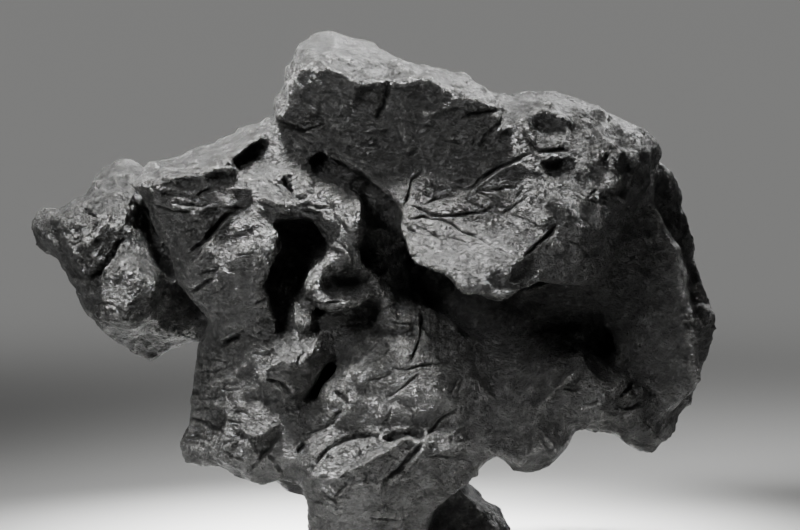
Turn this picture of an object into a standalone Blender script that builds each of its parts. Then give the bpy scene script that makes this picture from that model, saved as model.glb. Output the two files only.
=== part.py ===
"""A scholars rock: one dark, leathery stone with a hooded brow, a pierced arch and a split left lobe.

The stone is modelled the way it weathered: overlapping masses, each with a faceted face, fused into
one skin, worn by coarse noise, thinned to facets and sawn flat where it stands. Metres, +Z up. The
display side faces -Y and the origin is at the middle of the box's underside.
"""

import bmesh
import bpy
from mathutils import Vector, geometry, noise

MM = 0.001

# Driving dimensions.
FUSE_GRID = 1.4 * MM  # grid on which the masses are fused into one skin
MOST_TRIANGLES = 9600
SIDE_STEPS = 4  # bands of facets from a mass's face to its hidden end
RAGGED, RAGGED_SPACING = 7.0, 26.0  # how far the hidden end strays from a straight one, and how often, mm
RAGGED_SEED = 8
SWELL_DEPTH, SWELL_SPACING = 1.3, 20.0  # broad dips and swells over the whole skin, mm
REAR_SWELL = 2.5  # how many times deeper the swells are on the undressed rear
RIDGE_DEPTH, RIDGE_SPACING = 0.8, 12.0  # sharp wandering ridges on top of them, mm
CHIP_DEPTH, CHIP_SPACING = 1.1, 9.0  # flat chips with crisp edges between them, mm

# The masses. A point is (across, up, out) in millimetres: across to the viewer's right, up from the
# sawn base, and out from the stone's middle plane, towards the viewer on a front mass and away on a
# back mass. A rim runs once round the mass, and its peaks are the high and low points inside it.
FRONT, BACK = -1, 1
MASSES = {
    "brow": dict(
        side=FRONT, root=30, taper=0.9,
        rim=[
            (-38, 174, 18), (-34, 183, 16), (-31, 194, 12), (-27, 199, 8), (-22, 201, 6),
            (-17, 201, 6), (-1, 196, 6), (3, 193, 8), (24, 187, 8), (36, 183, 10), (45, 178, 14),
            (48, 177, 10), (54, 177, 8), (69, 177, 4), (84, 173, 2), (102, 163, -2), (107, 159, -4),
            (108, 155, -4), (105, 137, 0), (94, 119, 10), (83, 110, 18), (72, 106, 24), (59, 109, 33),
            (51, 105, 39), (46, 103, 41), (31, 107, 45), (23, 114, 44), (14, 116, 42), (10, 127, 37),
            (9, 138, 33), (-10, 152, 30), (-16, 155, 28), (-24, 163, 27), (-31, 167, 27),
            (-37, 169, 24),
        ],
        peaks=[
            (-30, 185, 34), (-25, 187, 37), (-20, 188, 39), (-14, 187, 39), (-8, 184, 39),
            (-2, 184, 38), (3, 184, 37), (6, 186, 35), (10, 184, 37), (16, 185, 37), (22, 184, 37),
            (29, 180, 36), (37, 177, 34), (43, 174, 32), (47, 175, 24), (-26, 196, 22), (-16, 195, 22),
            (-7, 191, 24), (6, 188, 22), (-31, 174, 30), (-20, 173, 33), (-9, 169, 33), (1, 172, 31),
            (6, 176, 33), (17, 176, 30), (20, 172, 33), (28, 167, 32), (39, 167, 31), (-13, 161, 29),
            (2, 158, 28), (17, 154, 28), (31, 152, 28), (42, 158, 28), (51, 172, 22), (51, 166, 28),
            (40, 160, 29), (46, 165, 30), (13, 141, 32), (24, 139, 31), (39, 139, 30), (53, 145, 29),
            (59, 154, 30), (20, 125, 36), (35, 125, 34), (50, 129, 32), (62, 134, 32), (18, 118, 42),
            (29, 116, 44), (42, 116, 41), (53, 120, 37), (38, 108, 44), (48, 107, 40), (55, 167, 30),
            (60, 156, 31), (63, 147, 31), (68, 136, 33), (68, 128, 32), (56, 171, 27), (63, 173, 27),
            (70, 169, 26), (79, 165, 20), (59, 168, 24), (68, 165, 24), (79, 162, 22), (65, 159, 26),
            (74, 157, 25), (68, 152, 25), (74, 149, 27), (71, 145, 30), (83, 154, 27), (90, 157, 22),
            (98, 157, 14), (104, 156, 6), (77, 139, 30), (87, 143, 24), (83, 130, 27), (75, 123, 30),
            (98, 144, 12), (68, 117, 30), (79, 116, 24), (91, 130, 18),
        ],
    ),
    "flank": dict(
        side=FRONT, root=44, taper=0.88,
        rim=[
            (21, 101, 2), (47, 104, 2), (69, 108, 8), (84, 112, 10), (93, 123, 6), (102, 139, 0),
            (108, 153, -8), (115, 141, -16), (118, 131, -18), (124, 112, -22), (130, 92, -20),
            (131, 86, -20), (126, 66, -26), (122, 58, -26), (117, 53, -24), (113, 45, -20),
            (107, 39, -10), (92, 46, 2), (86, 51, 8), (80, 51, 10), (75, 51, 12), (73, 48, 15),
            (72, 44, 17), (68, 41, 18), (63, 39, 18), (57, 36, 19), (46, 42, 20), (41, 41, 21),
            (38, 35, 21), (32, 31, 20), (24, 34, 18), (17, 49, 14), (17, 70, 8),
        ],
        peaks=[
            (39, 89, 3), (58, 89, 2), (77, 92, 2), (94, 90, 0), (39, 78, 10), (54, 77, 12),
            (83, 86, -2), (89, 81, -12), (91, 79, -8), (104, 88, -6), (115, 92, -8), (119, 89, -6),
            (126, 92, -12), (119, 96, -14), (123, 81, -16), (114, 75, -14), (77, 78, 22), (70, 73, 26),
            (63, 65, 27), (58, 70, 21), (56, 64, 23), (83, 72, 23), (93, 70, 19), (101, 69, 9),
            (83, 61, 24), (85, 57, 23), (74, 58, 25), (97, 60, 15), (91, 53, 15), (69, 54, 25),
            (68, 63, 25), (60, 56, 27), (63, 49, 32), (66, 45, 31), (48, 54, 23), (32, 56, 25),
            (54, 48, 28), (39, 47, 27), (55, 41, 30), (49, 43, 28), (41, 44, 28), (107, 46, -3),
            (107, 62, 0),
        ],
    ),
    "face": dict(
        side=FRONT, root=20, taper=0.85,
        rim=[
            (-5, 95, 24), (2, 101, 22), (9, 102, 20), (19, 99, 16), (41, 84, 9), (54, 74, 9),
            (60, 64, 12), (54, 54, 14), (45, 49, 17), (33, 47, 22), (9, 50, 27), (-18, 48, 28),
            (-28, 50, 28), (-30, 56, 28), (-27, 63, 28), (-21, 65, 29), (-15, 76, 30), (-10, 83, 27),
        ],
        peaks=[
            (4, 97, 27), (13, 95, 25), (8, 92, 27), (2, 90, 27), (17, 90, 23), (9, 86, 30),
            (-3, 86, 31), (-9, 77, 34), (-11, 68, 34), (-2, 66, 33), (9, 73, 32), (20, 80, 27),
            (20, 69, 29), (30, 64, 26), (32, 75, 22), (43, 66, 20), (42, 59, 21), (9, 58, 31),
            (-5, 58, 32), (20, 61, 29), (-13, 61, 32), (-21, 60, 31), (-22, 54, 30),
        ],
    ),
    "foot": dict(
        side=FRONT, root=34, taper=0.92,
        rim=[
            (-28, 34, 29), (-28, 42, 32), (-27, 56, 29), (-16, 59, 27), (6, 59, 27), (19, 59, 23),
            (26, 62, 22), (35, 61, 19), (43, 49, 18), (39, 36, 20), (26, 27, 22), (21, 22, 23),
            (20, 14, 24), (21, -8, 24), (-20, -8, 26), (-24, 17, 26),
        ],
        peaks=[
            (-18, 36, 36), (-11, 41, 37), (-3, 44, 37), (4, 49, 36), (10, 51, 35), (17, 52, 32),
            (15, 48, 32), (9, 42, 34), (3, 35, 36), (19, 46, 33), (24, 49, 30), (30, 54, 28),
            (13, 32, 31), (20, 36, 29), (28, 39, 27), (33, 41, 25), (-16, 29, 36), (-9, 28, 36),
            (2, 27, 33), (-13, 20, 33), (9, 21, 28), (-5, 10, 30),
        ],
    ),
    "column": dict(
        side=FRONT, root=14, taper=0.9,
        rim=[
            (-89, 145, 26), (-87, 147, 24), (-87, 152, 12), (-84, 154, 4), (-80, 153, 2),
            (-73, 154, 2), (-67, 158, -2), (-60, 159, -2), (-56, 161, -4), (-50, 164, 0),
            (-43, 169, 0), (-39, 171, 4), (-37, 167, 18), (-41, 163, 24), (-53, 154, 30),
            (-52, 152, 30), (-48, 150, 24), (-33, 147, 28), (-27, 141, 30), (-31, 136, 32),
            (-38, 134, 32), (-40, 132, 36), (-35, 129, 36), (-34, 125, 36), (-41, 112, 36),
            (-41, 106, 34), (-37, 96, 31), (-35, 90, 31), (-26, 89, 30), (-19, 89, 28), (-15, 86, 27),
            (-17, 79, 27), (-25, 66, 26), (-29, 63, 29), (-25, 42, 32), (-27, 33, 29), (-31, 34, 24),
            (-37, 34, 22), (-41, 32, 22), (-57, 38, 18), (-69, 37, 14), (-74, 42, 10), (-73, 48, 12),
            (-70, 54, 12), (-68, 73, 12), (-66, 83, 16), (-61, 90, 22), (-61, 94, 22), (-67, 99, 18),
            (-73, 106, 18), (-77, 118, 20), (-75, 122, 24), (-80, 123, 22), (-84, 134, 22),
        ],
        peaks=[
            (-50, 161, 18), (-46, 164, 16), (-42, 166, 12), (-56, 157, 22), (-84, 148, 32),
            (-76, 149, 35), (-69, 149, 37), (-62, 150, 38), (-55, 152, 36), (-82, 141, 30),
            (-73, 143, 33), (-64, 143, 35), (-53, 145, 33), (-44, 143, 32), (-50, 148, 30),
            (-79, 134, 31), (-67, 136, 36), (-56, 138, 35), (-45, 138, 33), (-38, 138, 34),
            (-50, 134, 32), (-56, 132, 32), (-61, 126, 32), (-66, 121, 30), (-69, 118, 30),
            (-53, 132, 34), (-58, 125, 34), (-64, 119, 33), (-45, 129, 36), (-51, 120, 37),
            (-44, 122, 37), (-60, 112, 34), (-49, 111, 36), (-68, 108, 28), (-77, 126, 27),
            (-71, 125, 29), (-72, 115, 24), (-62, 101, 28), (-53, 101, 33), (-44, 99, 33),
            (-55, 93, 31), (-48, 90, 32), (-55, 86, 27), (-38, 86, 33), (-40, 81, 36), (-32, 82, 36),
            (-59, 78, 27), (-49, 75, 32), (-38, 75, 35), (-35, 71, 34), (-33, 67, 33), (-44, 66, 33),
            (-59, 65, 28), (-53, 56, 31), (-39, 58, 35), (-38, 51, 32), (-33, 55, 32), (-46, 47, 32),
            (-59, 47, 27), (-67, 46, 20), (-52, 41, 28), (-38, 42, 32), (-31, 44, 34), (-33, 61, 32),
            (-23, 85, 34), (-26, 76, 34),
        ],
    ),
    "ring": dict(
        side=FRONT, root=10, taper=0.95,
        rim=[
            (-44, 147, 27), (-38, 150, 28), (-31, 150, 28), (-27, 147, 29), (-21, 149, 27),
            (-11, 144, 28), (-6, 141, 35), (-4, 136, 37), (-5, 117, 35), (6, 108, 23), (5, 105, 24),
            (0, 102, 28), (-10, 98, 33), (-15, 98, 34), (-21, 99, 34), (-24, 104, 32), (-25, 108, 33),
            (-21, 116, 33), (-17, 119, 32), (-16, 124, 32), (-23, 132, 31), (-38, 132, 31),
            (-41, 134, 31),
        ],
        peaks=[
            (-36, 141, 31), (-27, 140, 32), (-18, 145, 32), (-11, 141, 33), (-10, 134, 38),
            (-8, 127, 37), (-14, 131, 36), (-23, 137, 36), (-13, 122, 37), (-11, 117, 36),
            (-18, 117, 38), (-17, 110, 31), (-12, 112, 29), (-5, 109, 26), (-8, 107, 26),
            (-14, 108, 30), (-4, 113, 31), (1, 109, 27), (-13, 115, 34), (-22, 109, 37),
            (-21, 104, 37), (-16, 101, 38), (-11, 102, 37), (-5, 104, 34), (0, 106, 29),
        ],
    ),
    "rib": dict(
        side=FRONT, root=14, taper=0.9,
        rim=[
            (-21, 153, 20), (-15, 157, 22), (6, 138, 16), (10, 124, 10), (11, 115, 8), (15, 106, 6),
            (19, 99, 8), (19, 88, 12), (9, 85, 20), (-2, 87, 22), (-8, 101, 16), (-7, 134, 17),
            (-9, 140, 19), (-15, 145, 21),
        ],
        peaks=[
            (-13, 150, 23), (-6, 143, 22), (-2, 136, 16), (2, 132, 14), (-1, 127, 20), (4, 125, 19),
            (1, 120, 21), (0, 111, 24), (6, 113, 20), (5, 106, 24), (4, 102, 27), (8, 94, 23),
            (12, 101, 16),
        ],
    ),
    "sill": dict(
        side=FRONT, root=14, taper=0.9,
        rim=[
            (-25, 95, 25), (-7, 98, 24), (0, 92, 22), (-13, 79, 24), (-19, 81, 24), (-24, 87, 26),
        ],
        peaks=[
            (-15, 91, 27), (-9, 91, 25),
        ],
    ),
    "tongue": dict(
        side=FRONT, root=20, taper=0.9,
        rim=[
            (-42, 130, 16), (-33, 133, 18), (-23, 131, 18), (-17, 126, 18), (-18, 118, 18),
            (-22, 114, 20), (-24, 108, 22), (-22, 93, 28), (-27, 86, 30), (-33, 84, 31), (-38, 90, 29),
            (-42, 107, 22), (-42, 116, 18),
        ],
        peaks=[
            (-28, 123, 14), (-33, 115, 15), (-31, 109, 19), (-28, 102, 28), (-28, 96, 32),
            (-35, 98, 24), (-33, 92, 27),
        ],
    ),
    "neck": dict(
        side=FRONT, root=20, taper=0.9,
        rim=[
            (-54, 153, 18), (-50, 157, 14), (-42, 163, 10), (-39, 169, 12), (-33, 168, 22),
            (-27, 166, 25), (-18, 158, 26), (-23, 154, 24), (-21, 150, 25), (-27, 146, 28),
            (-48, 148, 26), (-52, 151, 24),
        ],
        peaks=[
            (-44, 155, 20), (-40, 159, 19), (-36, 163, 20), (-31, 159, 22), (-26, 157, 25),
            (-35, 154, 22), (-29, 152, 26), (-44, 151, 23),
        ],
    ),
    "core": dict(
        side=FRONT, root=40, taper=0.86,
        rim=[
            (-84, 145, -2), (-66, 152, -6), (-42, 161, -6), (-28, 175, -4), (9, 182, -4),
            (47, 173, -4), (85, 167, -10), (104, 151, -14), (120, 113, -26), (124, 85, -28),
            (117, 58, -28), (101, 44, -20), (74, 50, -6), (47, 40, -4), (24, 28, 0), (19, -12, 4),
            (-19, -12, 4), (-26, 28, 4), (-66, 37, 0), (-66, 81, 0), (-60, 90, 0), (-71, 102, 0),
            (-79, 119, 0),
        ],
        peaks=[
            (-28, 122, 0), (2, 132, 0), (-9, 82, 8), (28, 89, 2), (66, 100, 0), (-17, 78, 12),
        ],
    ),
    "lobe": dict(
        side=FRONT, root=26, taper=0.8,
        rim=[
            (-131, 127, -14), (-130, 131, -14), (-127, 133, -14), (-116, 136, -8), (-111, 139, -8),
            (-108, 145, -8), (-105, 148, -8), (-95, 153, -8), (-91, 153, -8), (-85, 149, -6),
            (-80, 137, 0), (-71, 106, 4), (-62, 90, 0), (-66, 82, -4), (-74, 80, -8), (-85, 73, -8),
            (-89, 74, -8), (-104, 87, -2), (-112, 98, -6), (-117, 108, -10), (-121, 113, -14),
            (-129, 117, -18),
        ],
        peaks=[
            (-124, 129, -5), (-126, 123, -9), (-119, 128, 3), (-117, 132, 6), (-110, 136, 10),
            (-103, 133, 14), (-107, 124, 16), (-113, 120, 12), (-102, 124, 16), (-108, 112, 14),
            (-104, 115, 16), (-92, 123, 12), (-96, 120, 13), (-99, 115, 13), (-102, 109, 12),
            (-102, 140, 8), (-95, 140, 10), (-91, 142, 10), (-99, 145, 4), (-93, 148, 2),
            (-90, 136, 12), (-96, 133, 14), (-93, 127, 15), (-89, 126, 14), (-88, 141, -2),
            (-86, 131, -5), (-83, 120, -5), (-77, 111, -2), (-85, 115, 13), (-92, 119, 17),
            (-88, 121, 13), (-94, 115, 20), (-87, 112, 22), (-80, 109, 19), (-90, 104, 22),
            (-82, 102, 20), (-98, 107, 18), (-77, 101, 11), (-108, 104, 9), (-102, 101, 15),
            (-104, 93, 11), (-96, 95, 22), (-90, 93, 21), (-99, 91, 16), (-86, 97, 18), (-83, 93, 14),
            (-79, 89, 5), (-89, 82, -4), (-76, 96, 8),
        ],
    ),
    "rear_foot": dict(
        side=FRONT, root=40, taper=0.95,
        rim=[
            (2, -14, -10), (2, 15, -10), (9, 18, -10), (21, 16, -11), (31, 20, -12), (38, 20, -12),
            (44, 18, -13), (49, 15, -14), (52, 10, -15), (57, -15, -14),
        ],
        peaks=[
            (25, 8, -4), (32, 15, -4), (40, 14, -3), (47, 8, -6), (36, 1, 0),
        ],
    ),
    "back_main": dict(
        side=BACK, root=-6, taper=0.9,
        rim=[
            (-89, 145, 10), (-66, 152, 10), (-43, 164, 10), (-33, 182, 6), (-22, 195, 6), (-2, 191, 8),
            (55, 171, 12), (85, 167, 14), (106, 153, 18), (119, 120, 24), (126, 93, 26), (124, 68, 26),
            (112, 51, 22), (93, 48, 18), (74, 49, 14), (47, 41, 14), (25, 27, 16), (21, 9, 20),
            (25, -17, 24), (-21, -16, 20), (-24, 18, 16), (-44, 34, 12), (-67, 40, 10), (-66, 72, 8),
            (-61, 88, 8), (-74, 103, 10), (-81, 121, 12),
        ],
        peaks=[
            (-17, 170, 26), (17, 162, 38), (48, 154, 44), (79, 142, 42), (102, 115, 40), (87, 95, 50),
            (56, 112, 36), (29, 127, 42), (2, 135, 30), (-18, 119, 38), (-44, 127, 34), (-67, 124, 24),
            (-56, 97, 30), (-29, 84, 44), (2, 87, 50), (33, 80, 42), (64, 72, 42), (90, 65, 34),
            (25, 50, 36), (-2, 45, 40), (-29, 47, 30), (-52, 51, 22), (2, 11, 36), (-48, 70, 28),
            (-32, 151, 22),
        ],
    ),
    "back_hood": dict(
        side=BACK, root=-4, taper=0.95,
        rim=[
            (-33, 188, 20), (-17, 195, 25), (17, 184, 31), (55, 171, 35), (82, 164, 35), (98, 151, 32),
            (87, 130, 44), (64, 124, 50), (37, 131, 52), (9, 135, 48), (-29, 154, 34), (-38, 167, 26),
        ],
        peaks=[
            (-10, 169, 44), (21, 161, 52), (52, 150, 57), (75, 141, 52), (37, 141, 58), (-18, 158, 40),
            (5, 149, 52),
        ],
    ),
    "back_left": dict(
        side=BACK, root=-2, taper=0.95,
        rim=[
            (-70, 140, 16), (-48, 143, 22), (-29, 137, 30), (-17, 119, 40), (-21, 95, 46),
            (-32, 75, 44), (-52, 67, 30), (-65, 76, 16), (-65, 95, 12), (-74, 108, 12),
        ],
        peaks=[
            (-44, 125, 36), (-33, 103, 50), (-48, 97, 38), (-55, 83, 30),
        ],
    ),
    "back_belly": dict(
        side=BACK, root=-4, taper=0.95,
        rim=[
            (2, 97, 40), (29, 100, 48), (56, 95, 52), (79, 83, 50), (88, 64, 40), (71, 50, 30),
            (48, 43, 26), (25, 37, 36), (2, 40, 42), (-14, 56, 40), (-9, 80, 40),
        ],
        peaks=[
            (21, 78, 59), (48, 75, 56), (64, 63, 46), (33, 56, 50), (9, 58, 54),
        ],
    ),
    "back_right": dict(
        side=BACK, root=4, taper=0.95,
        rim=[
            (89, 148, 24), (105, 140, 24), (116, 120, 24), (124, 93, 24), (122, 70, 24), (112, 55, 20),
            (98, 50, 26), (90, 65, 38), (86, 87, 46), (83, 110, 46), (86, 131, 36),
        ],
        peaks=[
            (102, 119, 42), (109, 96, 40), (102, 76, 43), (112, 73, 32),
        ],
    ),
    "back_root": dict(
        side=BACK, root=-4, taper=0.98,
        rim=[
            (-20, 42, 36), (2, 46, 42), (25, 37, 38), (36, 26, 30), (48, 15, 28), (55, 0, 28),
            (58, -19, 28), (-21, -19, 26), (-23, 5, 22), (-24, 24, 24),
        ],
        peaks=[
            (2, 25, 47), (25, 17, 43), (9, -2, 42), (37, -2, 40), (-10, 3, 36),
        ],
    ),
    "back_lobe": dict(
        side=BACK, root=2, taper=0.9,
        rim=[
            (-118, 130, 6), (-107, 140, 10), (-93, 147, 12), (-81, 139, 18), (-75, 117, 22),
            (-71, 98, 18), (-81, 80, 10), (-93, 82, 8), (-104, 94, 8), (-113, 110, 6),
        ],
        peaks=[
            (-98, 132, 27), (-90, 109, 33), (-102, 112, 23), (-90, 91, 22),
        ],
    ),
}


def clear_scene():
    for obj in list(bpy.data.objects):
        bpy.data.objects.remove(obj)


def add_mass(bm, side, rim, peaks, root, taper):
    """A closed block. Its face runs through the rim and peaks; its sides draw in to a ragged end."""
    points = rim + peaks
    around = len(rim)
    edges = [(i, (i + 1) % around) for i in range(around)]
    flat = [Vector((across, up)) for across, up, _ in points]
    corners, _, triangles, came_from, _, _ = geometry.delaunay_2d_cdt(flat, edges, [], 1, 1e-4)
    face = []
    for corner, source in zip(corners, came_from):
        out = points[source[0]][2]
        face.append(bm.verts.new(Vector((corner.x, side * out, corner.y)) * MM))
    cap = [bm.faces.new([face[i] for i in triangle]) for triangle in triangles]
    middle = sum(flat[:around], Vector((0, 0))) / around
    for step in range(SIDE_STEPS):
        grown = bmesh.ops.extrude_face_region(bm, geom=cap, use_keep_orig=step == 0)["geom"]
        cap = [item for item in grown if isinstance(item, bmesh.types.BMFace)]
        left = SIDE_STEPS - step
        for vert in {vert for part in cap for vert in part.verts}:
            across, out, up = vert.co.x / MM, side * vert.co.y / MM, vert.co.z / MM
            stray = noise.noise_vector(vert.co / MM / RAGGED_SPACING) * RAGGED / SIDE_STEPS
            draw = 1 - (1 - taper) / SIDE_STEPS
            vert.co = Vector((
                middle.x + (across - middle.x) * draw + stray.x,
                side * (out - (out + root) / left) + stray.y,
                middle.y + (up - middle.y) * draw + stray.z,
            )) * MM


def fused(masses):
    """All the masses as one closed skin."""
    bm = bmesh.new()
    for mass in masses.values():
        add_mass(bm, **mass)
    bmesh.ops.recalc_face_normals(bm, faces=bm.faces)
    mesh = bpy.data.meshes.new("rough_stone")
    bm.to_mesh(mesh)
    bm.free()
    rough = bpy.data.objects.new("rough_stone", mesh)
    bpy.context.scene.collection.objects.link(rough)
    fuse = rough.modifiers.new("fuse", "REMESH")
    fuse.mode = "VOXEL"
    fuse.voxel_size = FUSE_GRID
    return taken_as_mesh(rough)


def taken_as_mesh(obj):
    """The object's evaluated mesh. The object itself is removed."""
    graph = bpy.context.evaluated_depsgraph_get()
    mesh = bpy.data.meshes.new_from_object(obj.evaluated_get(graph))
    bpy.data.objects.remove(obj)
    return mesh


def weather(mesh):
    """Wears the skin: a light smoothing, broad swells and sharp ridges."""
    bm = bmesh.new()
    bm.from_mesh(mesh)
    bmesh.ops.smooth_vert(
        bm, verts=bm.verts, factor=0.5, use_axis_x=True, use_axis_y=True, use_axis_z=True
    )
    bm.normal_update()
    for vert in bm.verts:
        place = vert.co / MM
        rear = 1 + (REAR_SWELL - 1) * max(0, vert.normal.y)
        swell = noise.fractal(place / SWELL_SPACING, 0.9, 2.1, 4) * SWELL_DEPTH * rear
        ridge = (noise.ridged_multi_fractal(place / RIDGE_SPACING, 0.9, 2.2, 3, 1.0, 2.0) - 1) * RIDGE_DEPTH
        near, far = noise.voronoi(place / CHIP_SPACING)[0][:2]
        chip = min(far - near, 0.35) / 0.35 * CHIP_DEPTH
        vert.co += vert.normal * (swell + ridge + chip - CHIP_DEPTH) * MM
    bm.to_mesh(mesh)
    bm.free()


def thinned(mesh):
    """The skin with its flatter stretches merged into larger facets."""
    skin = bpy.data.objects.new("worn_skin", mesh)
    bpy.context.scene.collection.objects.link(skin)
    mesh.calc_loop_triangles()
    thin = skin.modifiers.new("thin", "DECIMATE")
    thin.ratio = MOST_TRIANGLES / len(mesh.loop_triangles)
    thin.use_collapse_triangulate = True
    return taken_as_mesh(skin)


def drop_crumbs(mesh):
    """Leaves only the largest connected skin."""
    bm = bmesh.new()
    bm.from_mesh(mesh)
    left = set(bm.verts)
    largest = set()
    while left:
        skin, edge_of_skin = set(), [left.pop()]
        while edge_of_skin:
            vert = edge_of_skin.pop()
            skin.add(vert)
            beside = {edge.other_vert(vert) for edge in vert.link_edges} & left
            left -= beside
            edge_of_skin.extend(beside)
        largest = max(largest, skin, key=len)
    crumbs = [vert for vert in bm.verts if vert not in largest]
    bmesh.ops.delete(bm, geom=crumbs, context="VERTS")
    bm.to_mesh(mesh)
    bm.free()


def saw_base(mesh):
    """Cuts the feet off flat at height 0 and closes the cut."""
    bm = bmesh.new()
    bm.from_mesh(mesh)
    bmesh.ops.bisect_plane(
        bm, geom=bm.verts[:] + bm.edges[:] + bm.faces[:], plane_co=(0, 0, 0), plane_no=(0, 0, -1),
        dist=1e-6, clear_outer=True,
    )
    cut = [edge for edge in bm.edges if edge.is_boundary]
    bmesh.ops.triangle_fill(bm, edges=cut, use_beauty=True, normal=(0, 0, -1))
    bmesh.ops.recalc_face_normals(bm, faces=bm.faces)
    bm.to_mesh(mesh)
    bm.free()


def centre(mesh):
    """Moves the stone so that its box stands centred on the origin."""
    lows = [min(vert.co[axis] for vert in mesh.vertices) for axis in (0, 1)]
    highs = [max(vert.co[axis] for vert in mesh.vertices) for axis in (0, 1)]
    middle = [(low + high) / 2 for low, high in zip(lows, highs)]
    for vert in mesh.vertices:
        vert.co -= Vector((*middle, 0))


def black_stone():
    """Close-grained black limestone with a hand-rubbed satin skin."""
    material = bpy.data.materials.new("black_stone")
    material.use_nodes = True
    shader = material.node_tree.nodes["Principled BSDF"]
    shader.inputs["Base Color"].default_value = (0.055, 0.055, 0.052, 1)
    shader.inputs["Roughness"].default_value = 0.48
    shader.inputs["Metallic"].default_value = 0
    return material


def main():
    clear_scene()
    noise.seed_set(RAGGED_SEED)
    mesh = fused(MASSES)
    weather(mesh)
    mesh = thinned(mesh)
    drop_crumbs(mesh)
    saw_base(mesh)
    centre(mesh)
    mesh.name = "stone"
    mesh.materials.append(black_stone())
    mesh.shade_smooth()
    stone = bpy.data.objects.new("stone", mesh)
    parts = bpy.data.collections.new("scholars_rock")
    bpy.context.scene.collection.children.link(parts)
    parts.objects.link(stone)


main()
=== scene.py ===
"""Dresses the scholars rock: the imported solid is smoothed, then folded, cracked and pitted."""

import math

import bmesh
import bpy
import numpy as np
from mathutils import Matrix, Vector, bvhtree, noise


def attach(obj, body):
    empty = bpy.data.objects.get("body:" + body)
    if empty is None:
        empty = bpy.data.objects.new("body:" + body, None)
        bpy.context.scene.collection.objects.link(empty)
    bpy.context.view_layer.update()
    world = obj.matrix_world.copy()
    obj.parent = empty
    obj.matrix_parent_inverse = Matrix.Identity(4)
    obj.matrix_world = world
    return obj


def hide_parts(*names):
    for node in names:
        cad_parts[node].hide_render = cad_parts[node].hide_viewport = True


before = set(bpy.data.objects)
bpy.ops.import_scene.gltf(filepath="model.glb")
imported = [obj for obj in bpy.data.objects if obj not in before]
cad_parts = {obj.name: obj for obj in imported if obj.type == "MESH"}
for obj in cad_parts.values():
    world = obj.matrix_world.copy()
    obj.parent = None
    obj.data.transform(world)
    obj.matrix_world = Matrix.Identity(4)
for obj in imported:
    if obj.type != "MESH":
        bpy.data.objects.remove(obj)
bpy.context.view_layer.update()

MM = 0.001

# The viewpoint that the display side is drawn from.
VIEW_DISTANCE = 1400 * MM
VIEW_DOWN = math.radians(5)
VIEW_WIDTH = 300 * MM  # what the view takes in at the stone's middle plane
VIEW_TARGET = Vector((9.4, -7.4, 112.9)) * MM
SENSOR = 36

# The mesh, from coarse to fine.
SKIN_GRID = 1.4 * MM
MELT_PASSES = 1
MELT_BEHIND = 5  # how often the sides and the back are smoothed
BASE_RIM = 0.8 * MM  # what lies lower than this belongs to the sawn base
THINNED_BEHIND = 0.45  # the share of the faces behind that is merged away first
MOST_TRIANGLES = 195000

# How far each vertex is shown to the viewpoint, from 0 to 1.
EDGE_ON = 0.2  # how far either side of edge-on the skin fades out of sight, as a cosine
RAY_LIFT, RAY_START = 0.5, 1.0  # where a sight line starts, off the skin and along itself, mm
HIDDEN, SHOWN = 0.1, 0.3  # below the first is hidden, and above the second is shown

# The marks.
WOBBLE, WOBBLE_SPACING = 0.5, 4.0  # how far a mark strays from its drawn line, and how often, mm
FINE_MARK, FINE_MARGIN = 1.6, 0.5  # narrower marks get smaller faces, out to this margin, mm
END_TAPER, STEP_TAPER = 0.22, 0.15  # the share of a mark over which each of its ends fades
CRACK_TIP = 0.35  # how wide a crack is at its ends, where 1 is its full width
RIDGE_FALL = 1.5  # how fast a ridge falls away over its width
STEP_BANK, STEP_EDGE = 2.2, 0.35  # how far a step's high side and its sharp edge reach, in widths
STEP_RISE, STEP_DROP = 0.75, 0.55  # how its height is shared between its two sides

# The unevenness of the whole skin.
SWELL_DEPTH, SWELL_SPACING = 0.25, 12.0  # mm
CRUMPLES = ((9.0, 0.07), (4.5, 0.11), (2.2, 0.11))  # size of the flakes in mm, and how far they lean
CRUMPLE_STRETCH = 1.6
CRUMPLE_SEAM = 0.16  # how softly two flakes meet, as a share of their size
LEAN_KEY = 7.31  # sets which way each flake leans
BEND_DEPTH, BEND_SPACING = 4.5, 11.0  # how far the flakes are bent out of line, mm
DRIFT_SPACING = 24.0  # how far apart rough and smooth skin are by nature, mm
PATCH_EDGE = 1.5  # where a placed patch ends, in times its reach
ROUGH_RANGE = (0.4, 1.8)  # the least and the most that placed patches make of it
WRINKLE_DEPTH, WRINKLE_LENGTH, WRINKLE_SPACING = 0.15, 7.0, 2.4  # mm
BULGE_DEPTH, BULGE_SPACING = 1.6, 24.0  # mm
ROUGH_BEHIND = 1.7  # how rough the sides and the back are, where 1 is usual
STRAY_SEED = 4

# The finish, in millimetres.
CREASE, FLAKE, GRAIN = 0.7, 1.3, 0.8  # depth of the finest creases, flakes and grain
FLAKE_SIZES = (1.0, 0.5)
CAVITY_PASSES, CAVITY_RANGE = 6, 0.6  # how long the skin is levelled, and how proud of that counts
FINE_EDGE = 0.5  # where edges are longer than this, it counts for less
# The colour ramp is painted light. It is darkest in the cracks, where shade falls (painted shade). It is
# palest on what stands proud, partly rubbed wear and partly painted highlight.
CRACK_SHADE_AT, RUBBED_HIGHLIGHT_AT = 0.22, 0.85  # how proud the skin stands where it is darkest and palest
PAINTED_CRACK_SHADE_COLOUR = (0.003, 0.003, 0.0029, 1)
STONE_COLOUR = (0.012, 0.012, 0.0115, 1)
RUBBED_AND_HIGHLIGHT_COLOUR = (0.065, 0.0645, 0.062, 1)
# The flecks follow the grain that also bumps the skin: paler on its raised specks and darker in its lows, as
# painted glints and painted shade.
CLOUD_RANGE, GLINT_AND_SHADE_FLECK_RANGE = (0.8, 1.2), (0.7, 1.35)  # how far the colour drifts, and how far it flecks
DULL, RUBBED, POLISH_DRIFT = 0.46, 0.25, 0.08  # roughness in the cracks, where rubbed, and its drift

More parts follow.
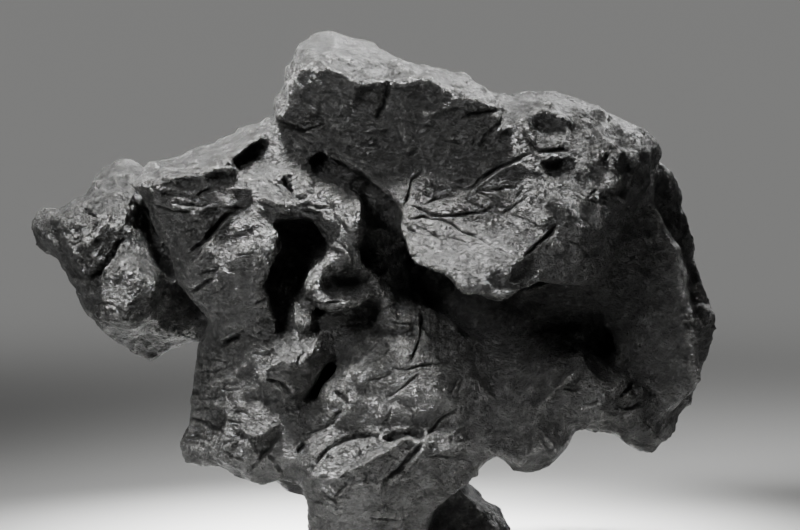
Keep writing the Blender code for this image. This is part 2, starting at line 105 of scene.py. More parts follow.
# The stage.
FLOOR_REACH = 20.0
FLOOR_COLOUR = (0.6, 0.6, 0.59, 1)
WORLD_STRENGTH = 0.06
LIGHTS = [  # (name, place, aim, width in metres, watts, spread in degrees)
    ("key", (-0.18, -0.09, 0.88), (-0.02, 0, 0.13), 0.16, 1.55, 18),
    ("fill", (-0.62, -0.55, 0.70), (-0.01, 0, 0.13), 0.3, 0.65, 30),
    ("floor_wash", (0, 13.6, 0.5), (0, 13.6, 0), 26.0, 620.0, 90),
    ("rear", (0.5, 1.1, 0.8), (0, 0, 0.1), 0.5, 0.6, 30),
]

# Patches of rougher or smoother skin: (times the usual roughness, reach, across, up), in millimetres.
PATCHES = [
    (1.3, 22.5, -65.6, -50.6),
    (1.2, 18.8, -108.8, -1.9),
    (1.1, 18.8, -65.6, 9.4),
    (1.35, 18.8, -24.4, 18.8),
    (1.0, 26.2, 0, 54.4),
    (0.7, 22.5, 0, -45),
    (0.7, 16.9, 30, -50.6),
    (1.0, 16.9, 60, -61.9),
    (0.65, 22.5, 22.5, 15),
    (1.3, 18.8, -15, -84.4),
    (1.05, 16.9, 63.8, 39.4),
    (0.7, 22.5, 75, -13.1),
]

# Marks, drawn from the viewpoint: (kind, half width, height, points), in millimetres across
# and up from the middle of the view.
MARKS = [
    # the cracked lower face of the brow
    ("crack", 1.1, 1.23, [
        (51, 43), (45, 40), (40.5, 38), (37.5, 36.5), (34, 34.5), (30, 32), (28, 29.5), (25, 28.5),
        (21, 29), (17, 30.5)]),
    ("ridge", 0.91, 0.49, [
        (50, 41), (45, 39), (40.5, 37), (37.5, 35), (34, 33), (30, 30.5), (27, 28), (22.5, 27.5)]),
    ("pit", 0.48, 0.45, [(20, 31.5), (23, 32), (28, 31.5), (26, 30), (22.5, 30)]),
    ("ridge", 0.66, 0.44, [(19.5, 32), (23, 32.5), (26, 32.5), (29, 32)]),
    ("crack", 0.68, 0.74, [(29, 28), (34.5, 28), (39, 29), (43.5, 29.5), (45.5, 28.5)]),
    ("crack", 0.62, 0.74, [(27, 29), (31.5, 26.5), (34.5, 25), (37.5, 22), (40.5, 20)]),
    ("crack", 0.68, 0.96, [(48.5, 26.5), (45, 24), (42, 22), (39, 19.5), (37, 17.5)]),
    ("crack", 0.56, 0.64, [(46, 29), (44, 26), (40.5, 21.5)]),
    ("crack", 0.74, 1.06, [
        (0.5, 22), (5, 22), (9, 20.5), (11, 19), (15, 18.5), (19.5, 18.5), (24, 19), (26, 19.5),
        (31.5, 20), (35, 21.5), (38, 22)]),
    ("crack", 0.74, 1.06, [
        (0.5, 17), (5, 17), (9, 18), (14, 17.5), (19, 15.5), (23, 13), (28, 11), (33, 8), (37, 5.5),
        (40.5, 3.5)]),
    ("crack", 0.74, 0.96, [(8, 22), (11, 23.5), (15, 25), (19, 26), (22.5, 26)]),
    ("crack", 0.56, 0.53, [(6, 28.5), (10, 26), (13, 25)]),
    ("crack", 0.56, 0.53, [(22, 26), (25, 24.5), (28, 23), (33, 20.5), (37, 18), (42, 16.5)]),
    ("crack", 0.74, 1.06, [(9, 37.5), (7, 34), (4.5, 32), (4, 29), (3, 26), (2, 23.5), (0.5, 21.5)]),
    ("crack", 0.56, 0.64, [(-7, 36.5), (-2, 34.5), (4, 31.5)]),
    ("crack", 0.56, 0.53, [(1, 15), (4.5, 13), (9, 11.5), (13.5, 8)]),
    ("crack", 0.56, 0.53, [(4, 16), (10.5, 12.5), (15, 9.5), (20, 6), (25, 3.5)]),
    ("crack", 0.56, 0.53, [(17, 10.5), (22.5, 9.5), (27, 7.5), (32, 8)]),
    ("ridge", 0.66, 0.39, [(37.5, 17.5), (43.5, 15.5), (49.5, 13.5), (55, 11)]),
    ("crack", 0.56, 0.53, [(42, 19), (48, 17), (53, 14.5)]),
    ("crack", 0.56, 0.53, [(35, 7), (40.5, 5), (46, 3.5)]),
    ("crack", 0.62, 0.85, [(3, 3), (5, 3.5), (8, 4)]),
    ("crack", 0.50, 0.43, [(4.5, 8), (9, 7), (13.5, 5), (17, 5)]),
    ("crack", 0.50, 0.43, [(21, 2.5), (25, 5), (28, 2), (33, 1)]),
    ("crack", 0.50, 0.43, [(11, 1), (17, 0), (23, -0.5)]),
    ("crack", 0.50, 0.43, [(31.5, 43), (37.5, 42.5), (44, 43)]),
    ("ridge", 0.66, 0.29, [(30, 41), (37.5, 40.5), (46, 41)]),
    ("crack", 0.50, 0.38, [(13.5, 37), (19, 35.5), (23, 36.5)]),
    ("ridge", 2.1, 0.59, [(7.5, -0.5), (17, -2.5), (22.5, -7), (30, -8)]),
    # the scar between the cracked face and the right flank
    ("crack", 1.3, 1.42, [(46, 49), (48, 46.5), (50, 44), (53, 42.5), (58, 43), (62, 43.5), (66, 42)]),
    ("ridge", 1.1, 0.6, [(52, 40), (55.5, 39), (60, 40), (64.5, 41)]),
    ("pit", 1.2, 0.99, [
        (53.5, 38), (58.5, 38), (64.5, 39.5), (66.5, 37.5), (65, 35), (61, 32.5), (57, 32), (55, 35)]),
    ("ridge", 0.99, 0.68, [(67, 40), (67, 35.5), (64, 31.5), (59, 29.5), (56, 27.5)]),
    ("crack", 0.83, 0.98, [(53, 33.5), (55, 30.5), (54.5, 26.5), (54, 24)]),
    ("ridge", 1.3, 0.83, [(56, 28), (58.5, 25), (61.5, 21.5), (62.5, 18), (61, 14.5), (58.5, 11.5)]),
    ("groove", 1.7, 0.61, [(55.5, 23), (58.5, 20), (59, 16), (56.5, 12.5), (53, 10)]),
    ("crack", 1, 1.27, [(59.5, 16.5), (57, 12), (53, 9), (49, 5.5), (46, 2.5)]),
    ("groove", 1.9, 0.66, [(52.5, 8.5), (49.5, 1), (45, -5), (40.5, -8.5)]),
    ("crack", 0.67, 0.77, [(74, 29), (72, 27), (70, 24.5)]),
    ("ridge", 1.2, 0.75, [(62, 57), (67.5, 54), (73, 51.5), (75, 47)]),
    ("groove", 1.5, 0.61, [(58.5, 55), (64, 52), (69, 49), (72, 44.5)]),
    ("ridge", 1.4, 0.75, [(83, 44), (85, 40), (91.5, 38), (95, 35.5)]),
    ("groove", 1.3, 0.5, [(79.5, 46), (82, 42.5), (86, 36.5), (90, 35)]),
    ("pit", 0.90, 0.59, [(81.5, 46.5), (84, 46.5), (84.5, 44), (82, 43.5)]),
    ("ridge", 1.1, 0.52, [(94, 33.5), (93, 29.5), (90, 24.5)]),
    ("crack", 0.56, 0.51, [(69, 44.5), (75, 42.5), (79.5, 39.5)]),
    ("crack", 0.56, 0.51, [(75, 37), (79.5, 35), (83, 31)]),
    ("crack", 0.56, 0.51, [(64, 27.5), (69, 24.5), (75, 23)]),
    ("crack", 0.56, 0.51, [(66, 19), (71, 16), (75, 11.5)]),
    ("crack", 0.56, 0.51, [(62, 10), (67.5, 7), (72, 2.5)]),
    ("lump", 2.1, 0.72, [(51, 63.5), (58.5, 63), (65, 60.5), (70, 57.5), (64.5, 57), (57, 59), (52, 59.5)]),
    # the dark upper face of the brow
    ("step", 1.1, 1.12, [
        (28.5, 65), (24.5, 66), (20, 66.5), (16.5, 68), (12.5, 70), (8, 71), (1.5, 70), (-1, 70)]),
    ("step", 1.2, 1.6, [
        (-3, 71), (-5, 70), (-10.5, 69), (-14.5, 68.5), (-19, 70), (-22, 72.5), (-25.5, 73.5), (-29, 76),
        (-31.5, 76.5), (-35, 74), (-39, 72.5), (-41, 70), (-45.5, 65)]),
    ("groove", 2.1, 0.66, [(-44, 65), (-40, 69.5), (-34.5, 72), (-29, 72.5), (-25, 70), (-20, 67)]),
    ("crack", 1.3, 1.42, [(-2, 72.5), (-4, 68), (-5, 63.5), (-6.5, 59.5), (-8, 56), (-10, 53.5)]),
    ("groove", 1.1, 0.44, [(8, 70), (6.5, 65), (5.5, 61.5), (5, 56), (5, 53)]),
    ("crack", 0.83, 0.75, [(-3, 55), (1, 54), (5.5, 53), (11.5, 52), (16, 51.5)]),
    ("ridge", 1.9, 1.12, [(7, 56), (12.5, 57), (17, 59), (20, 59)]),
    ("groove", 1.3, 0.5, [(9, 59), (14, 60.5), (19, 62.5)]),
    ("ridge", 1.4, 0.75, [(9, 64.5), (11.5, 64), (14, 62)]),
    ("ridge", 0.99, 0.45, [(7.5, 60.5), (10.5, 61.5), (13.5, 61)]),
    ("ridge", 0.91, 0.45, [(1, 59), (2, 57), (1.5, 54.5)]),
    ("crack", 0.51, 0.42, [(-33, 65), (-28, 64.5), (-22, 65)]),
    ("crack", 0.51, 0.42, [(-31, 62), (-25.5, 59), (-20, 56)]),
    ("crack", 0.51, 0.42, [(-43.5, 60), (-39, 58), (-33.5, 54)]),
    ("crack", 0.51, 0.42, [(-17, 63), (-12, 61.5), (-8, 61)]),
    ("crack", 0.51, 0.42, [(-24, 62.5), (-18, 59.5), (-13, 57.5)]),
    ("crack", 0.51, 0.42, [(-37.5, 63.5), (-32, 60.5), (-28, 56)]),
    ("crack", 0.51, 0.42, [(-41, 54.5), (-36, 53), (-31, 53.5)]),
    ("crack", 0.67, 0.77, [(-48, 52), (-44, 51.5), (-37, 50), (-32, 51.5), (-26, 53.5)]),
    ("ridge", 0.83, 0.38, [(-29.5, 44), (-26, 44.5), (-22, 44)]),
    ("ridge", 0.83, 0.45, [(6, 44), (10.5, 44), (15, 44)]),
    ("crack", 0.56, 0.59, [(6.5, 44), (5, 42.5), (3, 40.5)]),
    ("crack", 0.51, 0.42, [(-7.5, 43), (0, 41), (7, 39.5)]),
    ("crack", 0.56, 0.51, [(-26, 42), (-20.5, 40), (-16, 38), (-10.5, 37), (-5, 35), (4, 31.5)]),
    ("ridge", 0.74, 0.38, [(-25.5, 43), (-20.5, 41), (-16, 39.5), (-10.5, 38)]),
    ("crack", 0.96, 0.98, [(22, 55), (28, 57), (34, 57.5), (39.5, 58)]),
    ("ridge", 0.83, 0.45, [(22.5, 54), (28, 55.5), (32.5, 55.5), (37.5, 55.5)]),
    ("crack", 0.96, 0.83, [(39.5, 57.5), (38, 53), (34.5, 51), (32, 48.5), (30.5, 44)]),
    ("crack", 0.56, 0.68, [(28, 48), (27, 44)]),
    ("crack", 0.56, 0.59, [(29, 64.5), (31, 63), (32.5, 61), (36, 61), (37, 65)]),
    ("crack", 0.56, 0.51, [(25, 69.5), (25, 67), (29, 65)]),
    ("crack", 0.67, 0.77, [(-19, 72), (-16, 73.5), (-11.5, 74)]),
    ("crack", 0.56, 0.51, [(-22.5, 77), (-19, 76.5), (-16, 77)]),
    ("lump", 1.5, 0.6, [(-38, 76), (-32, 77.5), (-29, 75.5), (-32, 74), (-37, 73)]),
    ("lump", 1.5, 0.48, [(-18, 71), (-13.5, 72), (-9, 71), (-11, 69), (-16, 69)]),
    ("crack", 0.51, 0.38, [(11, 49), (17, 48.5), (23, 49)]),
    ("crack", 0.51, 0.38, [(-21, 50.5), (-15, 49), (-9, 50)]),
    ("crack", 0.51, 0.38, [(-19, 46), (-12, 44.5), (-6, 45.5)]),
    ("crack", 0.51, 0.38, [(15, 46), (21, 46), (26, 43)]),
    # the fan of folds at the brow's root
    ("ridge", 0.83, 0.6, [(-46, 49), (-44, 46.5), (-41, 43)]),
    ("ridge", 0.83, 0.6, [(-43, 50), (-39, 47), (-35, 44), (-32.5, 42)]),
    ("ridge", 0.83, 0.52, [(-39, 50), (-35, 48), (-31, 44.5)]),
    ("crack", 0.56, 0.68, [(-44, 49.5), (-41.5, 46.5), (-39, 43)]),
    ("crack", 0.56, 0.68, [(-41, 50.5), (-37, 47.5), (-33, 44)]),
    ("ridge", 0.91, 0.52, [(-40.5, 43), (-37, 40), (-33, 38.5)]),
    ("groove", 1.1, 0.55, [(-37, 44), (-34.5, 40), (-31.5, 37)]),
    # the slab's ledge and crumpled upper part
    ("step", 1, 1.2, [
        (-59, 35), (-61, 36.5), (-65.5, 37), (-70, 37), (-74, 35), (-78, 35), (-82.5, 35), (-86, 36.5),
        (-91, 35.5), (-92.5, 40)]),
    ("groove", 1.7, 0.83, [(-90, 33.5), (-84, 32), (-78, 32), (-73, 32.5), (-67, 33.5), (-60, 32.5)]),
    ("crack", 0.83, 0.98, [(-69, 40), (-66, 38), (-62, 36.5)]),
    ("lump", 0.90, 0.96, [(-95, 39.5), (-93, 41), (-91, 39.5), (-91, 36.5), (-94, 36.5)]),
    ("pit", 0.90, 0.72, [(-93, 33.5), (-90, 34), (-89, 31.5), (-92, 31)]),
    ("pit", 0.90, 0.72, [(-84.5, 32.5), (-79.5, 32.5), (-79, 29.5), (-83, 29)]),
    ("pit", 0.90, 0.81, [(-74, 34), (-67.5, 34.5), (-63, 33.5), (-64.5, 30.5), (-72, 31)]),
    ("pit", 0.90, 0.68, [(-63, 28), (-58.5, 27.5), (-55, 28), (-57, 25), (-61.5, 25)]),
    ("ridge", 1.1, 0.75, [(-86, 21.5), (-82.5, 22), (-78, 21.5), (-74, 21), (-70, 22), (-67, 21.5)]),
    ("crack", 0.67, 0.94, [(-94, 23), (-89, 21.5), (-85, 20), (-82, 20), (-76.5, 19.5)]),
    ("ridge", 0.99, 0.68, [(-88.5, 25), (-82.5, 25), (-77.5, 23.5), (-73, 24)]),
    ("crack", 0.62, 0.77, [(-86, 23), (-80, 23), (-75, 22), (-70.5, 23)]),
    ("ridge", 0.99, 0.68, [(-75.5, 24.5), (-73, 26), (-70, 27.5), (-67, 28)]),
    ("crack", 0.67, 0.94, [(-76.5, 25.5), (-73.5, 28), (-70.5, 29)]),
    ("crack", 0.67, 0.94, [(-67, 21.5), (-64, 21), (-60, 21.5), (-57, 20.5)]),
    ("ridge", 1.1, 0.68, [(-63, 28.5), (-59, 29), (-55, 28.5)]),
    ("ridge", 0.99, 0.68, [(-92, 29), (-88, 28), (-85, 29.5)]),
    ("ridge", 0.99, 0.6, [(-82, 28), (-78, 27), (-76, 28.5)]),
    ("crack", 0.62, 0.77, [(-91, 27), (-85.5, 26), (-80, 26)]),
    ("crack", 0.62, 0.68, [(-90, 29.5), (-86, 31), (-83, 28.5)]),
    ("pit", 0.78, 0.54, [(-88, 15), (-85.5, 16), (-83, 14), (-84.5, 10.5), (-87, 11)]),
    ("ridge", 0.91, 0.52, [(-92.5, 16), (-90, 12.5), (-87, 8)]),
    ("crack", 0.56, 0.68, [(-82.5, 18), (-79, 16), (-74, 16.5)]),
    ("crack", 0.56, 0.59, [(-84, 12.5), (-80, 12.5), (-76, 14)]),
    ("pit", 0.60, 0.41, [(-59, 17), (-57, 17), (-56.5, 15), (-59, 15)]),
    ("ridge", 0.83, 0.38, [(-61, 17.5), (-58, 18.5), (-56, 17), (-55.5, 14.5), (-58, 14)]),
    # the slab's cracks
    ("crack", 1.3, 2.1, [(-60.5, 20), (-65, 19), (-67.5, 16), (-70, 13), (-73, 9.5), (-76, 7), (-80, 3.5)]),
    ("ridge", 0.83, 0.75, [
        (-60, 18), (-64, 17.5), (-66.5, 14.5), (-69.5, 11), (-73, 6), (-76.5, 1), (-79, -2.5)]),
    ("crack", 0.56, 0.77, [(-74, 7), (-76, 4), (-78.5, 1)]),
    ("ridge", 0.83, 0.52, [(-70.5, 7), (-73, 3.5), (-76, -0.5)]),
    ("crack", 0.96, 1.05, [(-67, -0.5), (-72, -2.5), (-76, -3.5)]),
    ("crack", 1.1, 1.27, [(-69, -4), (-74, -7.5), (-77, -9.5), (-80, -10)]),
    ("crack", 0.56, 0.51, [(-64, -6.5), (-67.5, -9.5), (-72, -11.5)]),
    ("crack", 0.51, 0.42, [(-64, 8), (-58, 9), (-53, 8)]),
    ("crack", 0.51, 0.42, [(-67, 5), (-60, 3.5), (-54, 5)]),
    ("crack", 0.51, 0.42, [(-65, -2), (-58.5, -1), (-53, -2.5)]),
    ("crack", 0.51, 0.42, [(-70, -13), (-64, -14), (-58, -12.5)]),
    ("ridge", 1.1, 0.52, [(-72, -15.5), (-67.5, -17.5), (-63, -16)]),
    ("ridge", 1.1, 0.52, [(-60, 1), (-55.5, -2), (-52, -1)]),
    ("crack", 0.56, 0.68, [(-55, -14.5), (-52, -13.5), (-50, -11.5)]),
    # the arch over the eye
    ("crack", 1.5, 1.95, [(-44, 35), (-42.5, 31), (-40, 27), (-38, 25), (-33.5, 26.5), (-29.5, 30.5)]),
    ("lump", 2.1, 1.2, [(-39, 35), (-34.5, 35), (-32.5, 31), (-34.5, 28), (-38, 28)]),
    ("ridge", 1.7, 0.9, [(-37.5, 23), (-31, 27.5), (-25, 29), (-19, 26.5)]),
    ("crack", 1, 1.2, [(-38, 23), (-33, 22.5), (-30, 21.5), (-26.5, 22)]),
    ("crack", 1, 1.27, [(-25.5, 20), (-23, 16.5), (-23.5, 11.5), (-22.5, 8)]),
    ("ridge", 1.2, 0.98, [(-22, 19), (-19, 14), (-17, 18.5)]),
    ("ridge", 1.2, 0.75, [(-29, 19), (-26, 15.5), (-25.5, 11)]),
    ("crack", 0.89, 0.98, [(-25, 10), (-20.5, 6.5), (-18, 3), (-16.5, -1)]),
    ("ridge", 1.1, 0.83, [(-27.5, 8.5), (-23.5, 7), (-20, 5.5), (-18.5, 3), (-19, 0)]),
    ("ridge", 0.99, 0.68, [(-28, 5), (-25, 3.5), (-22, 4)]),
    ("ridge", 1.2, 0.75, [(-52, 26), (-46.5, 23), (-40.5, 21.5)]),
    ("crack", 0.67, 0.85, [(-54.5, 24.5), (-49.5, 22), (-45, 20)]),
    ("ridge", 1.1, 0.68, [(-54, 33.5), (-49.5, 29.5), (-46.5, 26)]),
    ("crack", 0.62, 0.68, [(-52, 35), (-48, 31), (-44, 27.5)]),
    ("crack", 0.62, 0.68, [(-37, 20), (-32, 19), (-28.5, 20)]),
    ("ridge", 0.99, 0.6, [(-49.5, 19), (-45, 20), (-39, 19)]),
    ("crack", 0.56, 0.59, [(-21, 28), (-18, 24.5), (-16.5, 20)]),
    ("ridge", 0.91, 0.45, [(-54.5, 12.5), (-51, 10), (-52, 5.5)]),
    # the cupped knob, its rib and the pits round them
    ("ridge", 1.2, 0.52, [
        (-28, 1), (-32, -1), (-34, -5), (-34.5, -9.5), (-34, -12.5), (-29, -13.5), (-24, -12.5)]),
    ("crack", 0.83, 0.9, [(-33, -14), (-28, -14.5), (-22.5, -13.5), (-18, -12.5)]),
    ("ridge", 1.1, 0.68, [(-32, -16), (-27, -16.5), (-22, -15.5)]),
    ("ridge", 1.4, 1.12, [(-13.5, 13), (-9.5, 13), (-3.5, 12.5)]),
    ("ridge", 1.4, 1.05, [(-8, 8), (-5.5, 1), (-5, -8)]),
    ("groove", 1.3, 0.83, [(-13, 9.5), (-11, 5), (-8, -0.5)]),
    ("ridge", 1.2, 0.75, [(-13.5, 7), (-10.5, 1), (-10, -2.5)]),
    ("ridge", 0.99, 0.68, [(-13, -7), (-9, -5.5), (-6, -3.5)]),
    ("ridge", 1.1, 0.6, [(-23.5, 33), (-19, 29), (-13.5, 24.5)]),
    ("groove", 1.1, 0.66, [(-47, -17), (-46.5, -21.5), (-45.5, -26)]),
    ("ridge", 1.4, 1.2, [(-38.5, -13), (-39, -18.5), (-38, -24.5)]),
    ("groove", 0.98, 0.77, [(-42.5, -13), (-43, -17), (-43.5, -21.5)]),
    ("ridge", 0.91, 0.6, [(-40, -4), (-41, -8.5), (-41.5, -12.5)]),
    ("groove", 0.83, 0.5, [(-44.5, -2.5), (-45.5, -7), (-46.5, -11.5)]),
    ("ridge", 0.91, 0.6, [(-43, 1), (-43.5, -4), (-44.5, -9.5)]),
    ("pit", 0.54, 0.36, [(-41.5, -24), (-39.5, -24), (-39.5, -26), (-41.5, -26)]),
    ("ridge", 1.1, 0.98, [(-28, -24.5), (-31, -27.5), (-32.5, -30), (-33.5, -33.5), (-34, -35)]),
    ("ridge", 0.99, 0.83, [(-37, -27), (-35, -30.5), (-34, -34)]),
    ("crack", 0.89, 1.27, [(-36, -32), (-38, -35), (-39, -38)]),
    ("ridge", 0.99, 0.75, [(-31, -26.5), (-27.5, -25), (-23.5, -25)]),
    # the lumpy column
    ("crack", 1.6, 2.1, [(-59.5, -27), (-63, -28), (-65.5, -29.5), (-68.5, -30.5)]),
    ("ridge", 1.1, 0.68, [(-58, -23), (-61.5, -25), (-64, -26), (-67, -28.5)]),
    ("ridge", 0.91, 0.52, [(-58, -23), (-55, -23.5), (-52, -25.5)]),
    ("crack", 1.4, 2.4, [(-50.5, -43), (-47, -44), (-44.5, -45), (-43, -46.5), (-40, -49)]),
    ("ridge", 1.2, 0.83, [(-50, -41), (-46.5, -39.5), (-42, -39), (-38.5, -39.5)]),
    ("ridge", 1.4, 0.9, [(-51, -40.5), (-48.5, -38), (-44, -36), (-39, -35.5)]),
    ("ridge", 0.83, 0.83, [(-50, -17.5), (-48, -20), (-47, -22.5), (-47, -26.5)]),
    ("ridge", 0.83, 0.52, [(-57, -16.5), (-53, -15), (-49.5, -16)]),
    ("crack", 0.62, 0.68, [(-58, -26), (-53, -28), (-49, -29)]),
    ("crack", 0.62, 0.68, [(-55.5, -32.5), (-51, -34), (-48, -33.5)]),
    ("ridge", 0.99, 0.68, [(-52, -30.5), (-49, -32), (-46.5, -30.5)]),
    ("crack", 1, 1.2, [(-79, -56.5), (-76, -58), (-73, -59), (-70.5, -61), (-67.5, -62), (-65, -64)]),
    ("crack", 0.83, 0.9, [
        (-78.5, -54.5), (-73, -54), (-70, -55), (-67.5, -56.5), (-64, -58), (-60, -59), (-57.5, -59.5)]),
    ("crack", 0.83, 0.83, [(-63, -55.5), (-61, -55), (-59, -54.5)]),
    ("pit", 0.90, 0.9, [(-79, -46), (-75.5, -46), (-75.5, -48.5), (-79, -48.5)]),
    ("crack", 0.83, 0.9, [(-76, -40), (-73, -39.5), (-69, -40), (-66.5, -38)]),
    ("lump", 0.90, 0.72, [(-53, -42), (-50.5, -42), (-50.5, -44), (-53, -44)]),
    ("ridge", 1.2, 0.83, [(-56.5, -46.5), (-54, -46.5), (-52, -45)]),
    ("lump", 1.2, 0.66, [(-62, -37), (-59, -37), (-58, -39.5), (-61, -41)]),
    ("pit", 0.90, 0.68, [(-59.5, -49), (-55, -48.5), (-53, -50.5), (-58, -52.5)]),
    ("pit", 0.90, 0.68, [(-53, -49), (-49, -49), (-47, -51.5), (-51, -53.5)]),
    ("ridge", 0.91, 0.9, [(-51, -56.5), (-49.5, -59), (-48, -60.5), (-45, -59.5)]),
    ("ridge", 0.91, 0.83, [(-49, -60.5), (-51, -63), (-53, -64.5)]),
    ("pit", 0.90, 1.17, [
        (-52, -64.5), (-48.5, -62), (-44.5, -62.5), (-44.5, -65.5), (-47.5, -67), (-49.5, -70),
        (-52, -72.5), (-53.5, -70.5), (-54.5, -67.5), (-56.5, -65)]),
    ("crack", 0.96, 1.27, [(-58, -64.5), (-55, -67.5), (-53, -71.5)]),
    ("crack", 0.96, 1.27, [(-47.5, -67), (-50, -70), (-52.5, -73), (-55, -75.5), (-57.5, -78)]),
    ("crack", 0.96, 1.35, [(-50, -71), (-47, -73), (-45.5, -76), (-43.5, -79)]),
    ("ridge", 0.99, 0.68, [(-77, -67), (-73, -66), (-70, -68), (-68.5, -71.5)]),
    ("pit", 1.2, 0.81, [(-80, -71), (-76, -70.5), (-74.5, -73), (-78, -74), (-80, -73)]),
    ("lump", 2.4, 0.84, [
        (-82, -68.5), (-75, -66.5), (-70, -69.5), (-70.5, -74.5), (-76.5, -77.5), (-82, -74.5)]),
    ("ridge", 0.99, 0.6, [(-65, -66.5), (-62, -70), (-63, -74.5)]),
    ("crack", 0.56, 0.68, [(-67, -68.5), (-63, -71.5), (-58, -74)]),
    ("ridge", 0.99, 0.6, [(-75, -50), (-70.5, -52), (-65, -51.5)]),
    ("crack", 0.62, 0.68, [(-76.5, -50.5), (-71, -50), (-67, -49)]),
    ("ridge", 0.99, 0.68, [(-73, -33.5), (-69, -32.5), (-64.5, -34)]),
    ("crack", 0.62, 0.77, [(-73.5, -35.5), (-68, -35.5), (-64, -37)]),
    ("ridge", 0.99, 0.6, [(-70, -42.5), (-65, -44), (-61.5, -43)]),
    ("crack", 0.62, 0.68, [(-67.5, -46), (-64, -47.5), (-60, -46)]),
    ("crack", 0.56, 0.68, [(-43, -52), (-41, -56), (-38, -57.5)]),
    ("ridge", 1.1, 0.68, [(-45, -50), (-42, -47.5), (-38, -47)]),
    ("ridge", 0.91, 0.6, [(-71, -63.5), (-67, -65.5), (-61.5, -65.5)]),
    # the dome of the lower face
    ("groove", 1.9, 0.99, [(-13, -25), (-7, -25), (-2, -25.5), (2.5, -26), (8, -26)]),
    ("crack", 0.56, 0.68, [(-5, -21), (-1, -22), (5, -22.5)]),
    ("ridge", 0.91, 0.45, [(-8, -23.5), (-3, -23.5), (1, -24)]),
    ("ridge", 0.74, 0.38, [(-2, -16), (-1.5, -18.5), (-1.5, -21)]),
    ("ridge", 0.74, 0.3, [(-6, -20.5), (-4, -18), (-2.5, -16.5)]),
    ("ridge", 1.1, 0.68, [(-7, -15.5), (-2, -14), (1.5, -16), (7, -16.5)]),
    ("crack", 0.96, 1.05, [(8.5, -17.5), (8, -23.5), (7.5, -28), (6, -32), (4, -36.5)]),
    ("lump", 1.5, 0.54, [(10, -18.5), (13, -20), (12.5, -24.5), (10, -24.5)]),
    ("crack", 0.51, 0.42, [(1, -28), (-4, -32), (-9, -36), (-14, -38)]),
    ("crack", 0.51, 0.42, [(-7, -27.5), (-10, -31), (-13, -34)]),
    ("crack", 0.67, 0.77, [(8.5, -40), (6, -42), (2.5, -44.5), (-1, -47.5), (-6, -50)]),
    ("crack", 0.62, 0.68, [(-5, -38), (-1, -39), (2.5, -39), (7, -38), (12.5, -37), (19, -35.5)]),
    ("crack", 0.56, 0.59, [(-14, -43), (-10, -43), (-7, -42.5), (-4, -41), (-1, -39.5)]),
    ("crack", 0.56, 0.51, [(22, -40.5), (21, -44), (20, -46.5), (18.5, -49)]),
    ("crack", 0.56, 0.51, [(24, -41.5), (22.5, -45.5), (21.5, -50)]),
    ("crack", 0.56, 0.51, [(11, -44.5), (15, -46), (19, -50)]),
    ("crack", 1, 1.8, [(-25, -47), (-22, -49), (-19, -51.5)]),
    ("crack", 0.89, 0.98, [(-22, -51.5), (-22, -55), (-25, -58), (-28, -60.5), (-32, -62), (-36.5, -64)]),
    ("ridge", 0.99, 0.52, [(-20, -52), (-19.5, -55), (-22, -58)]),
    ("ridge", 1.2, 0.9, [(-21.5, -34.5), (-25, -39), (-28, -43.5), (-29, -47.5), (-30.5, -51)]),
    ("lump", 1.8, 0.96, [(-18, -29), (-14, -29), (-14, -32.5), (-19, -34.5), (-20.5, -32.5)]),
    ("groove", 1.1, 0.5, [(-13, -29.5), (-14, -34), (-18, -37)]),
    ("crack", 0.56, 0.51, [(-10.5, -46), (-8, -50), (-8, -55)]),
    ("crack", 0.56, 0.51, [(-3, -52), (-4, -56.5), (-6, -60.5)]),
    ("crack", 0.51, 0.42, [(3, -52), (5, -56), (4.5, -59.5)]),
    ("ridge", 0.99, 0.38, [(-2, -48.5), (1.5, -50), (6, -49)]),
    ("ridge", 0.99, 0.38, [(4.5, -44.5), (8, -47), (11, -50.5)]),
    ("ridge", 0.83, 0.38, [(-17, -45.5), (-16.5, -50), (-17, -54.5)]),
    # the deep fold between the dome and the foot
    ("crack", 0.96, 1.2, [(23, -53), (20, -55), (16, -57.5), (14, -59.5), (12.5, -62), (9, -64)]),
    ("crack", 2.1, 3.15, [(11.5, -62), (7.5, -64), (4, -63), (1, -63.5), (-2, -64), (-5, -65), (-8, -64)]),
    ("crack", 1.3, 1.8, [(-6, -65), (-10, -63.5), (-13, -64), (-16, -64), (-20, -65)]),
    ("pit", 0.78, 0.72, [(-18.5, -61.5), (-16, -61.5), (-15.5, -63.5), (-17.5, -63.5)]),
    ("crack", 1.1, 1.65, [
        (-16, -64), (-20, -65), (-24, -67), (-27.5, -69.5), (-29.5, -71.5), (-32.5, -76.5)]),
    ("ridge", 1.7, 1.8, [
        (10, -64.5), (5, -64.5), (1, -65.5), (-2, -67.5), (-5.5, -70), (-9, -71.5), (-12.5, -74),
        (-16.5, -76), (-20, -77), (-23, -79.5), (-28, -80.5)]),
    ("groove", 1.3, 0.66, [(-5, -67), (-10, -69), (-13.5, -71), (-18, -73)]),
    ("crack", 1.3, 2.1, [
        (9.5, -66), (6.5, -69), (4, -71.5), (2, -74), (-0.5, -77), (-3.5, -79.5), (-5.5, -81.5),
        (-7.5, -85)]),
    ("crack", 0.56, 0.77, [(-4, -80.5), (-6, -84.5), (-7.5, -88)]),
    ("ridge", 1.1, 0.68, [(10, -68), (7, -71.5), (4, -75), (1, -78.5), (-2, -81)]),
    ("crack", 0.62, 0.77, [(10, -72.5), (14.5, -71.5), (19.5, -72.5)]),
    ("ridge", 0.91, 0.45, [(19.5, -63), (22, -61), (25, -61)]),
    ("ridge", 0.83, 0.45, [(12, -65.5), (14, -68), (12.5, -71)]),
    ("crack", 0.56, 0.59, [(18, -64), (21, -66.5), (25, -65.5)]),
    # the foot
    ("crack", 1.1, 1.5, [(-39, -70.5), (-37.5, -68), (-35, -67)]),
    ("ridge", 0.91, 0.75, [(-40, -70), (-38.5, -68), (-37, -66.5)]),
